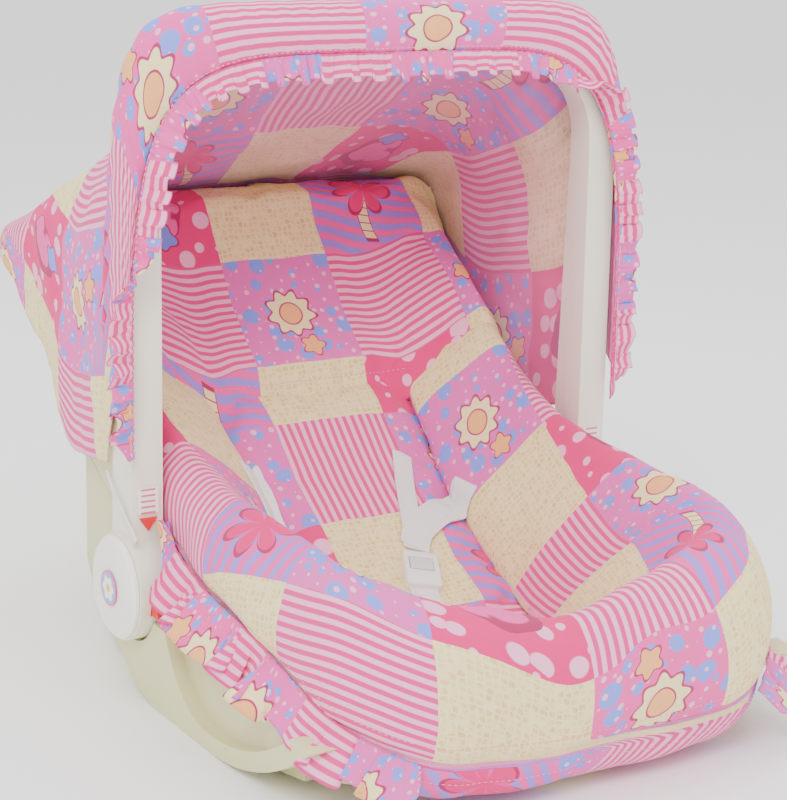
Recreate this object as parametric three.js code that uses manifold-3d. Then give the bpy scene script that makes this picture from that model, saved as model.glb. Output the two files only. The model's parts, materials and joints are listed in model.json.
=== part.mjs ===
// Infant car seat with a carry handle, a patchwork liner and a sun hood. Millimetres, +Z up.
// The seat stands on the flat of its rocker, the head end points to +Y and the foot end to -Y.
// X = 0 is the plane of symmetry. The group is moved so that its origin is the bottom centre of its box.

import * as THREE from 'three';
import { mergeVertices } from 'three/addons/utils/BufferGeometryUtils.js';
import Module from 'manifold-3d';

const wasm = await Module();
wasm.setup();

// ---------- driving dimensions ----------
const GAP = 0.5;                 // air left between neighbouring solids
const WALL = 4;                  // moulded wall of shell and base
const SHELL_HALF = 174;          // half width of the shell
const SHELL_FRONT = -298;        // foot end of the shell
const SHELL_REAR = 298;          // head end of the shell
const FRONT_ROUND = 108;         // length of the rounded foot end
const REAR_ROUND = 84;           // length of the rounded head end
const COVER_HALF = 185;          // half width of the padded cover at the foot end
const COVER_FRONT = -317;        // foot end of the padded cover

const HUB_Y = 0;                 // handle axis
const HUB_Z = 82;
const DRUM_R = 39;               // drum at the foot of each handle arm
const CUP_R = 35.5;              // hollow of that drum
const CAP_R = 37.4;
const BOLT_R = 5;
const BOLT_HOLE_R = 5.4;
const PLATE_IN = 176.5;          // pivot plate of the rail, from and to along X
const PLATE_OUT = 179.4;
const ARM_IN = 180;              // inner and outer face of a handle arm
const ARM_OUT = 204;
const DRUM_OUT = 208;
const HANDLE_TOP = 482;          // crown of the handle
const BAR_DEPTH = 26;            // height of the cross bar
const CROWN = 15;                // rise of the cross bar from its corners to its middle
const RAIL_OUT = 198;            // outer face of the rocker rail
const PANEL_OUT = 187;           // recessed panel inside the rail
const RAIL_TIP = -268;           // foot end of the rail
const PAD_HALF = 92;             // half width of seat and back pad
const BOLSTER_OUT = 176;         // the bolster folds over the shell's rim
const STRAP = 22;                // webbing width
const WEB = 1.6;                 // webbing thickness
const SHOULDER_SLOT_X = 50;      // half the distance between the shoulder straps' slots
const LAP_SLOT_X = 74;           // half the distance between the waist straps' slots

// Side outlines as [y, z]
const FLOOR_LINE = [[-298, 66], [-298, 34], [-282, 18], [-150, 12], [-100, 16], [-31, 50], [60, 104],
  [138, 148], [298, 278], [205, 320]];
const RIM_LINE = [[205, 320], [180, 268], [60, 160], [20, 118], [-50, 101], [-200, 83], [-298, 66]];
const BASE_LINE = [[-215, 8], [-150, 0], [55, 0], [85, 6], [119, 26], [138, 60], [138, 147]];
const SEAT_TOP = [[-168, 50], [-145, 38], [-120, 35], [-89, 48], [-31, 80], [40, 130], [108, 194]];
const BACK_TOP = [[109, 195], [160, 255], [197, 312]];
const BOLSTER_TOP = [[-232, 140], [-207, 150], [-148, 160], [-86, 163], [9, 172], [51, 190], [82, 217],
  [114, 245], [145, 268], [178, 290], [200, 310]];

const COLOURS = {
  shell: [0xdfddc0, 0.45, 0], handle: [0xf0eee4, 0.4, 0], cap: [0xf5f4ec, 0.35, 0],
  badge: [0x7fc4e8, 0.4, 0], red: [0xd8202c, 0.35, 0], label: [0xf7f3ee, 0.5, 0],
  steel: [0xb8babc, 0.35, 1], nylon: [0x8a8d90, 0.5, 0], webbing: [0xeeeeec, 0.8, 0],
  buckle: [0xf3f3f1, 0.4, 0], liner: [0xf2a0c4, 0.9, 0], frill: [0xf290bd, 0.9, 0],
  hood: [0xf29bc6, 0.9, 0],
};

// ---------- helpers ----------
const carSeat = new THREE.Group();
carSeat.name = 'infant_car_seat';

function solidOf(geometry) {
  const bare = geometry.clone();
  bare.deleteAttribute('normal');
  bare.deleteAttribute('uv');
  const merged = mergeVertices(bare, 1e-3);
  const mesh = new wasm.Mesh({
    numProp: 3,
    vertProperties: new Float32Array(merged.attributes.position.array),
    triVerts: new Uint32Array(merged.index.array),
  });
  return new wasm.Manifold(mesh);
}

function geometryOf(solid) {
  const mesh = solid.getMesh();
  const geometry = new THREE.BufferGeometry();
  geometry.setAttribute('position', new THREE.BufferAttribute(new Float32Array(mesh.vertProperties), 3));
  geometry.setIndex(new THREE.BufferAttribute(new Uint32Array(mesh.triVerts), 1));
  return geometry;
}

function add(name, geometry, colour) {
  const [color, roughness, metalness] = COLOURS[colour];
  const material = new THREE.MeshStandardMaterial({ color, roughness, metalness });
  const mesh = new THREE.Mesh(geometry, material);
  mesh.name = name;
  carSeat.add(mesh);
  return mesh;
}

const shapeOf = (points) => new THREE.Shape(points.map(([a, b]) => new THREE.Vector2(a, b)));

function extrude(shape, depth, segments = 10) {
  return new THREE.ExtrudeGeometry(shape, { depth, bevelEnabled: false, curveSegments: segments });
}

// A [y, z] outline pushed along X between two places
function alongX(shape, x0, x1, segments) {
  const geometry = extrude(shape, Math.abs(x1 - x0), segments);
  const turn = new THREE.Matrix4().makeBasis(
    new THREE.Vector3(0, 1, 0), new THREE.Vector3(0, 0, 1), new THREE.Vector3(1, 0, 0));
  geometry.applyMatrix4(turn);
  geometry.translate(Math.min(x0, x1), 0, 0);
  return geometry;
}

// An [x, z] outline pushed along Y between two places
function alongY(shape, y0, y1, segments) {
  const geometry = extrude(shape, y1 - y0, segments);
  const turn = new THREE.Matrix4().makeBasis(
    new THREE.Vector3(1, 0, 0), new THREE.Vector3(0, 0, 1), new THREE.Vector3(0, -1, 0));
  geometry.applyMatrix4(turn);
  geometry.translate(0, y1, 0);
  return geometry;
}

// An [x, y] outline pushed up
function alongZ(shape, z0, z1) {
  const geometry = extrude(shape, z1 - z0);
  geometry.translate(0, 0, z0);
  return geometry;
}

function box(x0, x1, y0, y1, z0, z1) {
  const geometry = new THREE.BoxGeometry(Math.abs(x1 - x0), y1 - y0, z1 - z0);
  geometry.translate((x0 + x1) / 2, (y0 + y1) / 2, (z0 + z1) / 2);
  return geometry;
}

function cylinderX(radius, x0, x1, y, z, sides = 32) {
  const geometry = new THREE.CylinderGeometry(radius, radius, Math.abs(x1 - x0), sides);
  geometry.rotateZ(Math.PI / 2);
  geometry.translate((x0 + x1) / 2, y, z);
  return geometry;
}

function cylinderZ(radius, z0, z1, x, y, sides = 20) {
  const geometry = new THREE.CylinderGeometry(radius, radius, z1 - z0, sides);
  geometry.rotateX(Math.PI / 2);
  geometry.translate(x, y, (z0 + z1) / 2);
  return geometry;
}

// A line of [a, b] points moved to its left by a distance, with mitred corners
function offsetLine(points, distance) {
  const normals = points.slice(1).map(([a, b], i) => {
    const [p, q] = points[i];
    const length = Math.hypot(a - p, b - q);
    return [-(b - q) / length, (a - p) / length];
  });
  return points.map(([a, b], i) => {
    const before = normals[Math.max(i - 1, 0)];
    const after = normals[Math.min(i, normals.length - 1)];
    const sum = [before[0] + after[0], before[1] + after[1]];
    const scale = (2 * distance) / (sum[0] ** 2 + sum[1] ** 2);
    return [a + sum[0] * scale, b + sum[1] * scale];
  });
}

// Height of a [y, z] line at a place y
function heightAt(line, y) {
  const sorted = [...line].sort((p, q) => p[0] - q[0]);
  const next = sorted.findIndex(([a]) => a >= y);
  const [a, b] = sorted[Math.max(next - 1, 0)];
  const [c, d] = sorted[next];
  return c === a ? d : b + ((d - b) * (y - a)) / (c - a);
}

// Plan outline with superelliptic ends, grown or shrunk all round
function planOutline(grow, half = SHELL_HALF, front = SHELL_FRONT, rear = SHELL_REAR) {
  const points = [];
  const end = (y0, reach, power, sign) => {
    for (let i = 0; i <= 16; i += 1) {
      const angle = (Math.PI * i) / 16;
      const c = Math.cos(angle) * sign;
      const x = (half + grow) * Math.sign(c) * Math.abs(c) ** (2 / power);
      points.push([x, y0 + sign * (reach + grow) * Math.abs(Math.sin(angle)) ** (2 / power)]);
    }
  };
  end(rear - REAR_ROUND, REAR_ROUND, 4, 1);
  end(front + FRONT_ROUND, FRONT_ROUND, 2.6, -1);
  return shapeOf(points);
}

// ---------- shell and base ----------
// The shell's outer block, grown by some millimetres
function shellBlock(grow) {
  const under = offsetLine(FLOOR_LINE, -grow);
  const over = offsetLine(RIM_LINE, -grow);
  const side = alongX(shapeOf([...under, ...over]), -SHELL_HALF - grow, SHELL_HALF + grow);
  const plan = alongZ(planOutline(grow), -50, 600);
  return solidOf(side).intersect(solidOf(plan));
}

// The hollow of the shell, open at the top, with some wall left round it
function shellHollow(wall) {
  const line = offsetLine(FLOOR_LINE, wall);
  const top = 600;
  const outline = [...line, [line.at(-1)[0], top], [line[0][0], top]];
  const side = alongX(shapeOf(outline), -SHELL_HALF + wall, SHELL_HALF - wall);
  const plan = alongZ(planOutline(-wall), -50, top + 50);
  return solidOf(side).intersect(solidOf(plan));
}

// Screws, by place and the height of the head's upper side
const FRONT_SCREW = { x: 120, y: -168, head: 5.2, reach: 10 };
const REAR_SCREW = { x: 100, y: 20, head: 66, reach: 17 };   // reach is the shank's length
const SCREW_R = 2;
const SCREW_HEAD_R = 4.2;
const SCREW_HOLE_R = 2.4;
const COUNTERBORE_R = 5.2;
const BOSS_R = 8.5;

function screwPlaces() {
  const places = [];
  for (const [end, place] of [['front', FRONT_SCREW], ['rear', REAR_SCREW]]) {
    for (const [side, sign] of [['left', -1], ['right', 1]]) {
      places.push({ ...place, name: `${side}_${end}_base_screw`, x: sign * place.x });
    }
  }
  return places;
}

function seatShell() {
  let shell = shellBlock(0).subtract(shellHollow(WALL));
  for (const { x, y, head } of screwPlaces()) {
    shell = shell.subtract(solidOf(cylinderZ(SCREW_HOLE_R, head, head + 30, x, y)));
  }
  shell = shell.subtract(solidOf(cylinderX(BOLT_HOLE_R, -190, 190, HUB_Y, HUB_Z)));
  // slots for the straps of the harness
  shell = shell.subtract(solidOf(box(-14, 14, -92, -84, 0, 60)));
  for (const sign of [-1, 1]) {
    const lapSlot = box(sign * (LAP_SLOT_X - 14), sign * (LAP_SLOT_X + 14), 8, 16, 40, 120);
    const shoulderSlot = box(sign * (SHOULDER_SLOT_X - 14), sign * (SHOULDER_SLOT_X + 14), 52, 60, 60, 150);
    shell = shell.subtract(solidOf(lapSlot)).subtract(solidOf(shoulderSlot));
  }
  add('seat_shell', geometryOf(shell), 'shell');
}

function rockerBase() {
  const roof = offsetLine(FLOOR_LINE.slice(2, 8), -GAP).reverse();
  const front = [BASE_LINE[0][0], heightAt(roof, BASE_LINE[0][0])];
  const roofInside = roof.filter(([y]) => y > front[0] && y < 137);
  const rearTop = [138, heightAt(FLOOR_LINE.slice(3, 9), 138) - GAP * 1.5];
  const outline = [...BASE_LINE.slice(0, 6), rearTop, ...roofInside, front];
  const plan = solidOf(alongZ(planOutline(0), -50, 600));
  let base = solidOf(alongX(shapeOf(outline), -SHELL_HALF, SHELL_HALF)).intersect(plan);
  const bays = [[-138, -63], [-60, 17], [20, 77], [80, 134]];
  const hollow = shapeOf([[-138, WALL], [54, WALL], [83, 10], [115, 29], [134, 62], [134, 200],
    [-138, 200]]);
  for (const [y0, y1] of bays) {
    const bay = solidOf(box(-SHELL_HALF + WALL, SHELL_HALF - WALL, y0, y1, -10, 210));
    base = base.subtract(solidOf(alongX(hollow, -SHELL_HALF, SHELL_HALF)).intersect(bay));
  }
  for (const sign of [-1, 1]) {
    const roofHere = heightAt(FLOOR_LINE.slice(2, 9), REAR_SCREW.y - BOSS_R) - 1;
    const boss = cylinderZ(BOSS_R, 1, roofHere, sign * REAR_SCREW.x, REAR_SCREW.y);
    base = base.add(solidOf(boss));
  }
  for (const { x, y, head } of screwPlaces()) {
    base = base.subtract(solidOf(cylinderZ(COUNTERBORE_R, -5, head, x, y)));
    base = base.subtract(solidOf(cylinderZ(SCREW_HOLE_R, head - 1, head + 30, x, y)));
  }
  add('rocker_base', geometryOf(base), 'shell');
}

function baseScrews() {
  for (const { name, x, y, head, reach } of screwPlaces()) {
    const profile = [[0, -3], [SCREW_HEAD_R, -3], [SCREW_HEAD_R, -GAP], [SCREW_R, -GAP],
      [SCREW_R, reach - 2], [0, reach]];
    const points = profile.map(([r, h]) => new THREE.Vector2(r, h));
    const geometry = new THREE.LatheGeometry(points, 16);
    geometry.rotateX(Math.PI / 2);
    add(name, geometry, 'steel').position.set(x, y, head);
  }
}

// ---------- rocker rails ----------
function rockerRail(side, sign) {
  const outline = new THREE.Shape();
  const r = DRUM_R + 2;
  outline.moveTo(RAIL_TIP, 52);
  outline.quadraticCurveTo(-205, 2, -125, 0);
  outline.lineTo(-45, 0);
  outline.quadraticCurveTo(24, 4, 40, 65);
  outline.absarc(HUB_Y, HUB_Z, r, THREE.MathUtils.degToRad(-26), THREE.MathUtils.degToRad(-154), true);
  outline.lineTo(-64, 64);
  outline.lineTo(-84, 78);
  outline.lineTo(-200, 58);
  const pocket = new THREE.Shape();
  pocket.moveTo(-46, 100);
  pocket.quadraticCurveTo(-62, 14, -125, 13);
  pocket.quadraticCurveTo(-195, 14, -252, 60);
  pocket.lineTo(-300, 100);
  let rail = solidOf(alongX(outline, sign * (SHELL_HALF + GAP), sign * RAIL_OUT, 14));
  rail = rail.subtract(solidOf(alongX(pocket, sign * PANEL_OUT, sign * (RAIL_OUT + 5), 14)));
  rail = rail.add(solidOf(cylinderX(r + 1.5, sign * PLATE_IN, sign * PLATE_OUT, HUB_Y, HUB_Z, 40)));
  rail = rail.subtract(solidOf(cylinderX(BOLT_HOLE_R, sign * 170, sign * 185, HUB_Y, HUB_Z)));
  add(`${side}_rocker_rail`, geometryOf(rail), 'shell');
}

// ---------- handle and hubs ----------
const BUTTON = { x0: 188.5, x1: 199.5, z0: 70, z1: 82, out: -48, inside: -24 };
const FLANGE = { y0: -31.5, y1: -29, grow: 1.2, drop: 1.5 };
const SPRING_SEAT = { y0: -8.8, y1: -6.2 };
const SPRING_X = 194;
const SPRING_Z = 76;

function handleOutline(inset) {
  const outline = new THREE.Shape();
  const half = ARM_OUT - inset;
  const top = HANDLE_TOP - inset * (BAR_DEPTH / (ARM_OUT - ARM_IN));
  const corner = 84 - inset;
  const shoulder = top - CROWN;
  outline.moveTo(half, HUB_Z);
  outline.lineTo(half, shoulder - corner);
  outline.quadraticCurveTo(half, shoulder - 2, half - corner, shoulder);
  outline.quadraticCurveTo(0, top + CROWN, -half + corner, shoulder);
  outline.quadraticCurveTo(-half, shoulder - 2, -half, shoulder - corner);
  outline.lineTo(-half, HUB_Z);
  return outline;
}

function carryHandle() {
  // the arm is deeper at the hub than at the crown
  const depth = solidOf(alongX(shapeOf([[-16, 40], [21, 40], [17, 200], [9, 400], [7, 520], [-15, 520],
    [-15, 300]]), -300, 300));
  const outer = solidOf(alongY(handleOutline(0), -60, 60, 12));
  const inner = solidOf(alongY(handleOutline(ARM_OUT - ARM_IN), -70, 70, 12));
  let handle = outer.subtract(inner).intersect(depth);
  for (const sign of [-1, 1]) {
    handle = handle.add(solidOf(cylinderX(DRUM_R, sign * ARM_IN, sign * DRUM_OUT, HUB_Y, HUB_Z, 48)));
    handle = handle.subtract(solidOf(cylinderX(CUP_R, sign * 170, sign * 204.5, HUB_Y, HUB_Z, 48)));
    handle = handle.subtract(solidOf(cylinderX(BOLT_HOLE_R, sign * 200, sign * 215, HUB_Y, HUB_Z)));
    const mouth = box(sign * (BUTTON.x0 - GAP), sign * (BUTTON.x1 + GAP), -50, -28,
      BUTTON.z0 - GAP, BUTTON.z1 + GAP);
    handle = handle.subtract(solidOf(mouth));
    const seat = box(sign * 189, sign * 206, SPRING_SEAT.y0, SPRING_SEAT.y1, 69, 83);
    handle = handle.add(solidOf(seat));
  }
  add('carry_handle', geometryOf(handle), 'handle');
}

function hub(side, sign) {
  // a cover disc with a shallow dome and a recess for the bolt's head
  const cap = [[0, 4], [10.5, 4], [10.5, 0], [CAP_R, 0], [CAP_R, 2.2], [35, 4.4], [24, 5.6], [0, 6.4]];
  const capGeometry = new THREE.LatheGeometry(cap.map(([r, h]) => new THREE.Vector2(r, h)), 40);
  capGeometry.rotateZ(-sign * Math.PI / 2);
  add(`${side}_hub_cover`, capGeometry, 'cap').position.set(sign * (DRUM_OUT + GAP), HUB_Y, HUB_Z);

  const badge = new THREE.CylinderGeometry(13, 13, 0.8, 32);
  badge.rotateZ(Math.PI / 2);
  add(`${side}_hub_badge`, badge, 'badge').position.set(sign * (DRUM_OUT + 7.7), HUB_Y, HUB_Z);

  // a hub bolt: shank through the drum, lock disc, plate and shell, with its head under the cover
  const shank = solidOf(cylinderX(BOLT_R, sign * 165.6, sign * (DRUM_OUT + 2), HUB_Y, HUB_Z, 24));
  const head = solidOf(cylinderX(9, sign * (DRUM_OUT + GAP), sign * (DRUM_OUT + 3.8), HUB_Y, HUB_Z, 24));
  add(`${side}_pivot_bolt`, geometryOf(shank.add(head)), 'steel');

  const nut = solidOf(cylinderX(8.5, sign * 165.8, sign * 169.5, HUB_Y, HUB_Z, 6));
  const bore = solidOf(cylinderX(BOLT_R + 0.35, sign * 160, sign * 175, HUB_Y, HUB_Z, 24));
  add(`${side}_pivot_nut`, geometryOf(nut.subtract(bore)), 'steel');

  const disc = new THREE.Shape();
  const notches = 12;
  for (let i = 0; i < notches * 4; i += 1) {
    const angle = (i * 2 * Math.PI) / (notches * 4);
    const radius = i % 4 < 2 ? 26 : 22;
    const point = [HUB_Y + radius * Math.cos(angle), HUB_Z + radius * Math.sin(angle)];
    if (i === 0) {
      disc.moveTo(...point);
    } else {
      disc.lineTo(...point);
    }
  }
  const lockDisc = solidOf(alongX(disc, sign * (PLATE_OUT + GAP), sign * 187));
  const eye = solidOf(cylinderX(BOLT_HOLE_R, sign * 170, sign * 195, HUB_Y, HUB_Z, 24));
  add(`${side}_lock_disc`, geometryOf(lockDisc.subtract(eye)), 'nylon');

  const body = solidOf(box(sign * BUTTON.x0, sign * BUTTON.x1, BUTTON.out, BUTTON.inside,
    BUTTON.z0, BUTTON.z1));
  const flange = solidOf(box(sign * (BUTTON.x0 - FLANGE.grow), sign * (BUTTON.x1 + FLANGE.grow),
    FLANGE.y0, FLANGE.y1, BUTTON.z0 - FLANGE.drop, BUTTON.z1 + FLANGE.drop));
  add(`${side}_release_button`, geometryOf(body.add(flange)), 'red');

  add(`${side}_button_spring`, springGeometry(sign), 'steel');

  // a red pointer on the front of the arm, and the small plate above it
  const pointer = shapeOf([[sign * 192 - 7, 136], [sign * 192 + 7, 136], [sign * 192, 126]].reverse());
  add(`${side}_lock_pointer`, alongY(pointer, -17.6, -16.4), 'red');
  const plate = box(sign * 192 - 8, sign * 192 + 8, -17.2, -16.4, 139, 158);
  add(`${side}_arm_label`, plate, 'label');
}

// Coil spring behind the button, between its inner end and the seat moulded in the drum
function springGeometry(sign) {
  const turns = 4;
  const steps = 36;
  const coil = 3.6;
  const wire = 0.5;
  const y0 = BUTTON.inside + wire + 0.4;
  const y1 = SPRING_SEAT.y0 - wire - 0.4;
  const points = [];
  for (let i = 0; i <= steps; i += 1) {
    const angle = (2 * Math.PI * turns * i) / steps;
    const x = sign * SPRING_X + coil * Math.cos(angle);
    const z = SPRING_Z + coil * Math.sin(angle);
    points.push(new THREE.Vector3(x, y0 + ((y1 - y0) * i) / steps, z));
  }
  const section = new THREE.Shape();
  section.absarc(0, 0, wire, 0, 2 * Math.PI, false);
  return new THREE.ExtrudeGeometry(section, {
    extrudePath: new THREE.CatmullRomCurve3(points), steps, curveSegments: 3, bevelEnabled: false,
  });
}

// ---------- liner ----------
const KEEP_OUT = shellBlock(GAP).subtract(shellHollow(WALL + GAP));
const INNER_LINE = offsetLine(FLOOR_LINE, WALL + GAP);

// The inner floor between two places along Y, front to rear
function innerFloor(y0, y1) {
  const line = INNER_LINE.slice(1, 9);
  const inside = line.filter(([y]) => y > y0 && y < y1);
  return [[y0, heightAt(line, y0)], ...inside, [y1, heightAt(line, y1)]];
}

function seatPad() {
  const floor = innerFloor(SEAT_TOP[0][0], 126);
  const outline = [...floor, ...SEAT_TOP.slice().reverse()];
  let pad = solidOf(alongX(shapeOf(outline), -PAD_HALF, PAD_HALF));
  pad = pad.subtract(solidOf(box(-13, 13, -93, -83, 0, 80)));
  add('seat_pad', geometryOf(pad), 'liner');
}

function backPad() {
  const floor = innerFloor(127.5, 282);
  const outline = [...floor, [200, 315], ...BACK_TOP.slice().reverse()];
  const solid = solidOf(alongX(shapeOf(outline), -PAD_HALF, PAD_HALF));
  add('back_pad', geometryOf(solid.subtract(KEEP_OUT)), 'liner');
}

function sideBolster(side, sign) {
  const floor = innerFloor(BOLSTER_TOP[0][0], 254);
  const outline = [...floor, [215, 306], ...BOLSTER_TOP.slice().reverse()];
  let bolster = solidOf(alongX(shapeOf(outline), sign * (PAD_HALF + GAP), sign * 165.2));
  const overRim = [...offsetLine(RIM_LINE, -GAP).filter(([y]) => y < 170 && y > -232), [-232, 84],
    ...BOLSTER_TOP.filter(([y]) => y < 160)];
  bolster = bolster.add(solidOf(alongX(shapeOf(overRim), sign * 160, sign * BOLSTER_OUT)));
  bolster = bolster.subtract(KEEP_OUT);
  add(`${side}_side_bolster`, geometryOf(bolster), 'liner');
}

function footBolster() {
  const y0 = BOLSTER_TOP[0][0] - GAP;
  const outline = [[SEAT_TOP[0][0] - GAP, 16.7], [SEAT_TOP[0][0] - GAP, 51], [-190, 62], [-253, 90],
    [-280, 113], [-296, 117], [-309, 108], [COVER_FRONT, 84], [COVER_FRONT, 40], [-311, 16], [-300, 7],
    [-284, 5], [-262, 8], [-262, 16.7]];
  const side = solidOf(alongX(shapeOf(outline.reverse()), -COVER_HALF, COVER_HALF));
  const plan = solidOf(alongZ(planOutline(0, COVER_HALF, COVER_FRONT), -50, 600));
  let bolster = side.intersect(plan).subtract(KEEP_OUT);
  for (const sign of [-1, 1]) {
    bolster = bolster.subtract(solidOf(box(sign * (PAD_HALF + GAP * 0.5), sign * 220, y0, 0, 0, 200)));
    bolster = bolster.subtract(solidOf(box(sign * SHELL_HALF, sign * 220, RAIL_TIP - 3, y0 + 1, 0, 60)));
  }
  add('foot_bolster', geometryOf(bolster), 'liner');
}

// Gathered strip below the bolster's seam
function sideFrill(side, sign) {
  const strip = new THREE.Shape();
  strip.moveTo(sign * 179, 98);
  strip.lineTo(sign * 181, 98);
  strip.lineTo(sign * 203, 62);
  strip.lineTo(sign * 201, 62);
  const front = -232;
  const rear = -52;
  const geometry = alongY(strip, front, rear);
  const slope = (RIM_LINE[4][1] - RIM_LINE[5][1]) / (RIM_LINE[4][0] - RIM_LINE[5][0]);
  const place = geometry.attributes.position;
  for (let i = 0; i < place.count; i += 1) {
    place.setZ(i, place.getZ(i) + (place.getY(i) - rear) * slope);
  }
  add(`${side}_side_frill`, geometry, 'frill');
}

// ---------- hood ----------
// Stations from the handle to the head end: y, half width, crown, hem and how square the arch is
const HOOD = [
  [-20, 210, 490, 168, 9], [24, 210, 488, 164, 9], [62, 205, 462, 156, 6.5], [102, 197, 432, 148, 6.8],
  [140, 190, 401, 144, 7.2], [180, 186, 372, 172, 8], [215, 184, 347, 200, 9], [258, 182, 322, 236, 10],
  [292, 181, 302, 264, 12], [304, 178, 292, 274, 12],
];
const HOOD_SKIN = 3;
const HOOD_COLUMNS = 26;

function archPoint(half, crown, hem, power, part) {
  const angle = Math.PI * part;
  const c = Math.cos(angle);
  const x = -half * Math.sign(c) * Math.abs(c) ** (2 / power);
  const z = hem + (crown - hem) * Math.sin(angle) ** (2 / power);
  return [x, z];
}

// Closed skin between two grids of points that share their rows and columns
function skinGeometry(outer, inner) {
  const rows = outer.length;
  const columns = outer[0].length;
  const positions = [...outer.flat(), ...inner.flat()].flat();
  const index = [];
  const at = (layer, r, c) => layer * rows * columns + r * columns + c;
  const quad = (a, b, c, d) => index.push(a, b, c, a, c, d);
  for (let r = 0; r < rows - 1; r += 1) {
    for (let c = 0; c < columns - 1; c += 1) {
      quad(at(0, r, c), at(0, r, c + 1), at(0, r + 1, c + 1), at(0, r + 1, c));
      quad(at(1, r, c), at(1, r + 1, c), at(1, r + 1, c + 1), at(1, r, c + 1));
    }
    quad(at(0, r, 0), at(0, r + 1, 0), at(1, r + 1, 0), at(1, r, 0));
    quad(at(0, r + 1, columns - 1), at(0, r, columns - 1), at(1, r, columns - 1), at(1, r + 1, columns - 1));
  }
  for (let c = 0; c < columns - 1; c += 1) {
    quad(at(0, 0, c + 1), at(0, 0, c), at(1, 0, c), at(1, 0, c + 1));
    quad(at(0, rows - 1, c), at(0, rows - 1, c + 1), at(1, rows - 1, c + 1), at(1, rows - 1, c));
  }
  const geometry = new THREE.BufferGeometry();
  geometry.setAttribute('position', new THREE.BufferAttribute(new Float32Array(positions), 3));
  geometry.setIndex(index);
  return geometry;
}

function sunHood() {
  const grid = (shrink) => HOOD.map(([y, half, crown, hem, power]) => {
    const row = [];
    for (let i = 0; i <= HOOD_COLUMNS; i += 1) {
      const even = i / HOOD_COLUMNS;
      const part = even + Math.sin(4 * Math.PI * even) * 0.035;
      const [x, z] = archPoint(half - shrink, crown - shrink, hem, power, part);
      row.push([x, y, z]);
    }
    return row;
  });
  add('sun_hood', skinGeometry(grid(0), grid(HOOD_SKIN)), 'hood');

  // gathered strip standing off the hood's front edge
  const ring = (half, crown, power, reverse) => {
    const points = [];
    for (let i = 0; i <= 28; i += 1) {
      points.push(archPoint(half, crown, 180, power, i / 28));
    }
    return reverse ? points.reverse() : points;
  };
  const band = shapeOf([...ring(226, 493, 8, false), ...ring(211.5, 491.5, 9, true)].reverse());
  add('hood_frill', alongY(band, -17, -15), 'frill');
}

// Elastic tape from the hood's corner down the outside of the arm
function hoodTape(side, sign) {
  const tape = shapeOf([[23, 161], [-28, 126], [-24, 120], [27, 157]].reverse());
  add(`${side}_hood_tape`, alongX(tape, sign * (ARM_OUT + 0.6), sign * (ARM_OUT + 1.8)), 'webbing');
}

// ---------- harness ----------
const BUCKLE = { y: -50, x: 14, lean: 20, width: 27, length: 34, height: 10 };
const BUTTON_PAD = { width: 19, length: 13, along: 5, depth: 5 };   // press button on the buckle
const seatSlope = (y0, y1) => Math.atan2(heightAt(SEAT_TOP, y1) - heightAt(SEAT_TOP, y0), y1 - y0);
const LAP_SLOPE = seatSlope(-70, -40);        // under the buckle
const THIGH_SLOPE = seatSlope(-20, 30);       // behind it

// A flat strap laid on the rear part of the seat pad between two places [x, y]
function layStrap(name, from, to) {
  const place = ([x, y]) => new THREE.Vector3(x, y, heightAt(SEAT_TOP, y) + WEB * 1.5);
  const start = place(from);
  const run = place(to).sub(start);
  const along = run.clone().normalize();
  const seatNormal = new THREE.Vector3(0, -Math.sin(THIGH_SLOPE), Math.cos(THIGH_SLOPE));
  const across = new THREE.Vector3().crossVectors(seatNormal, along).normalize();
  const up = new THREE.Vector3().crossVectors(along, across);
  const strap = new THREE.BoxGeometry(run.length(), STRAP, WEB);
  strap.applyMatrix4(new THREE.Matrix4().makeBasis(along, across, up));
  add(name, strap, 'webbing').position.copy(start).addScaledVector(run, 0.5);
}

// A group lying on the pad under the buckle: x across, y along the strap, z off the pad
function lapGroup(x, y, leanDegrees) {
  const group = new THREE.Group();
  group.position.set(x, y, heightAt(SEAT_TOP, y));
  group.rotation.set(LAP_SLOPE, 0, -THREE.MathUtils.degToRad(leanDegrees));
  carSeat.add(group);
  return group;
}

function buckle() {
  const lap = lapGroup(BUCKLE.x, BUCKLE.y, BUCKLE.lean);
  const { width, length, height } = BUCKLE;
  const low = 0.6;
  const casing = solidOf(box(-width / 2, width / 2, -length / 2, length / 2, low, low + height));
  const { width: w, length: l, along, depth } = BUTTON_PAD;
  const pocket = solidOf(box(-w / 2, w / 2, along - l / 2, along + l / 2,
    low + height - depth, low + height + 5));
  const mouth = solidOf(box(-11.5, 11.5, length / 2 - 8, length / 2 + 5, low + 1.5, low + 4.5));
  const body = add('buckle_body', geometryOf(casing.subtract(pocket).subtract(mouth)), 'buckle');
  lap.add(body);

  const button = box(-w / 2 + GAP, w / 2 - GAP, along - l / 2 + GAP, along + l / 2 - GAP, 0, 2.4);
  const press = add('buckle_button', button, 'label');
  press.position.z = low + height - 2.6;
  lap.add(press);

  const tongue = () => box(-11, 11, 0, 16, 0, 2);
  const right = add('right_buckle_tongue', tongue(), 'buckle');
  right.position.set(0, length / 2 - 7.5, low + 2);
  lap.add(right);
  // the left tongue is out of the buckle and lies by the left bolster
  const left = add('left_buckle_tongue', tongue(), 'buckle');
  left.position.set(0, 0, 1.5);
  lapGroup(-78, -51, 0).add(left);
}

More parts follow.
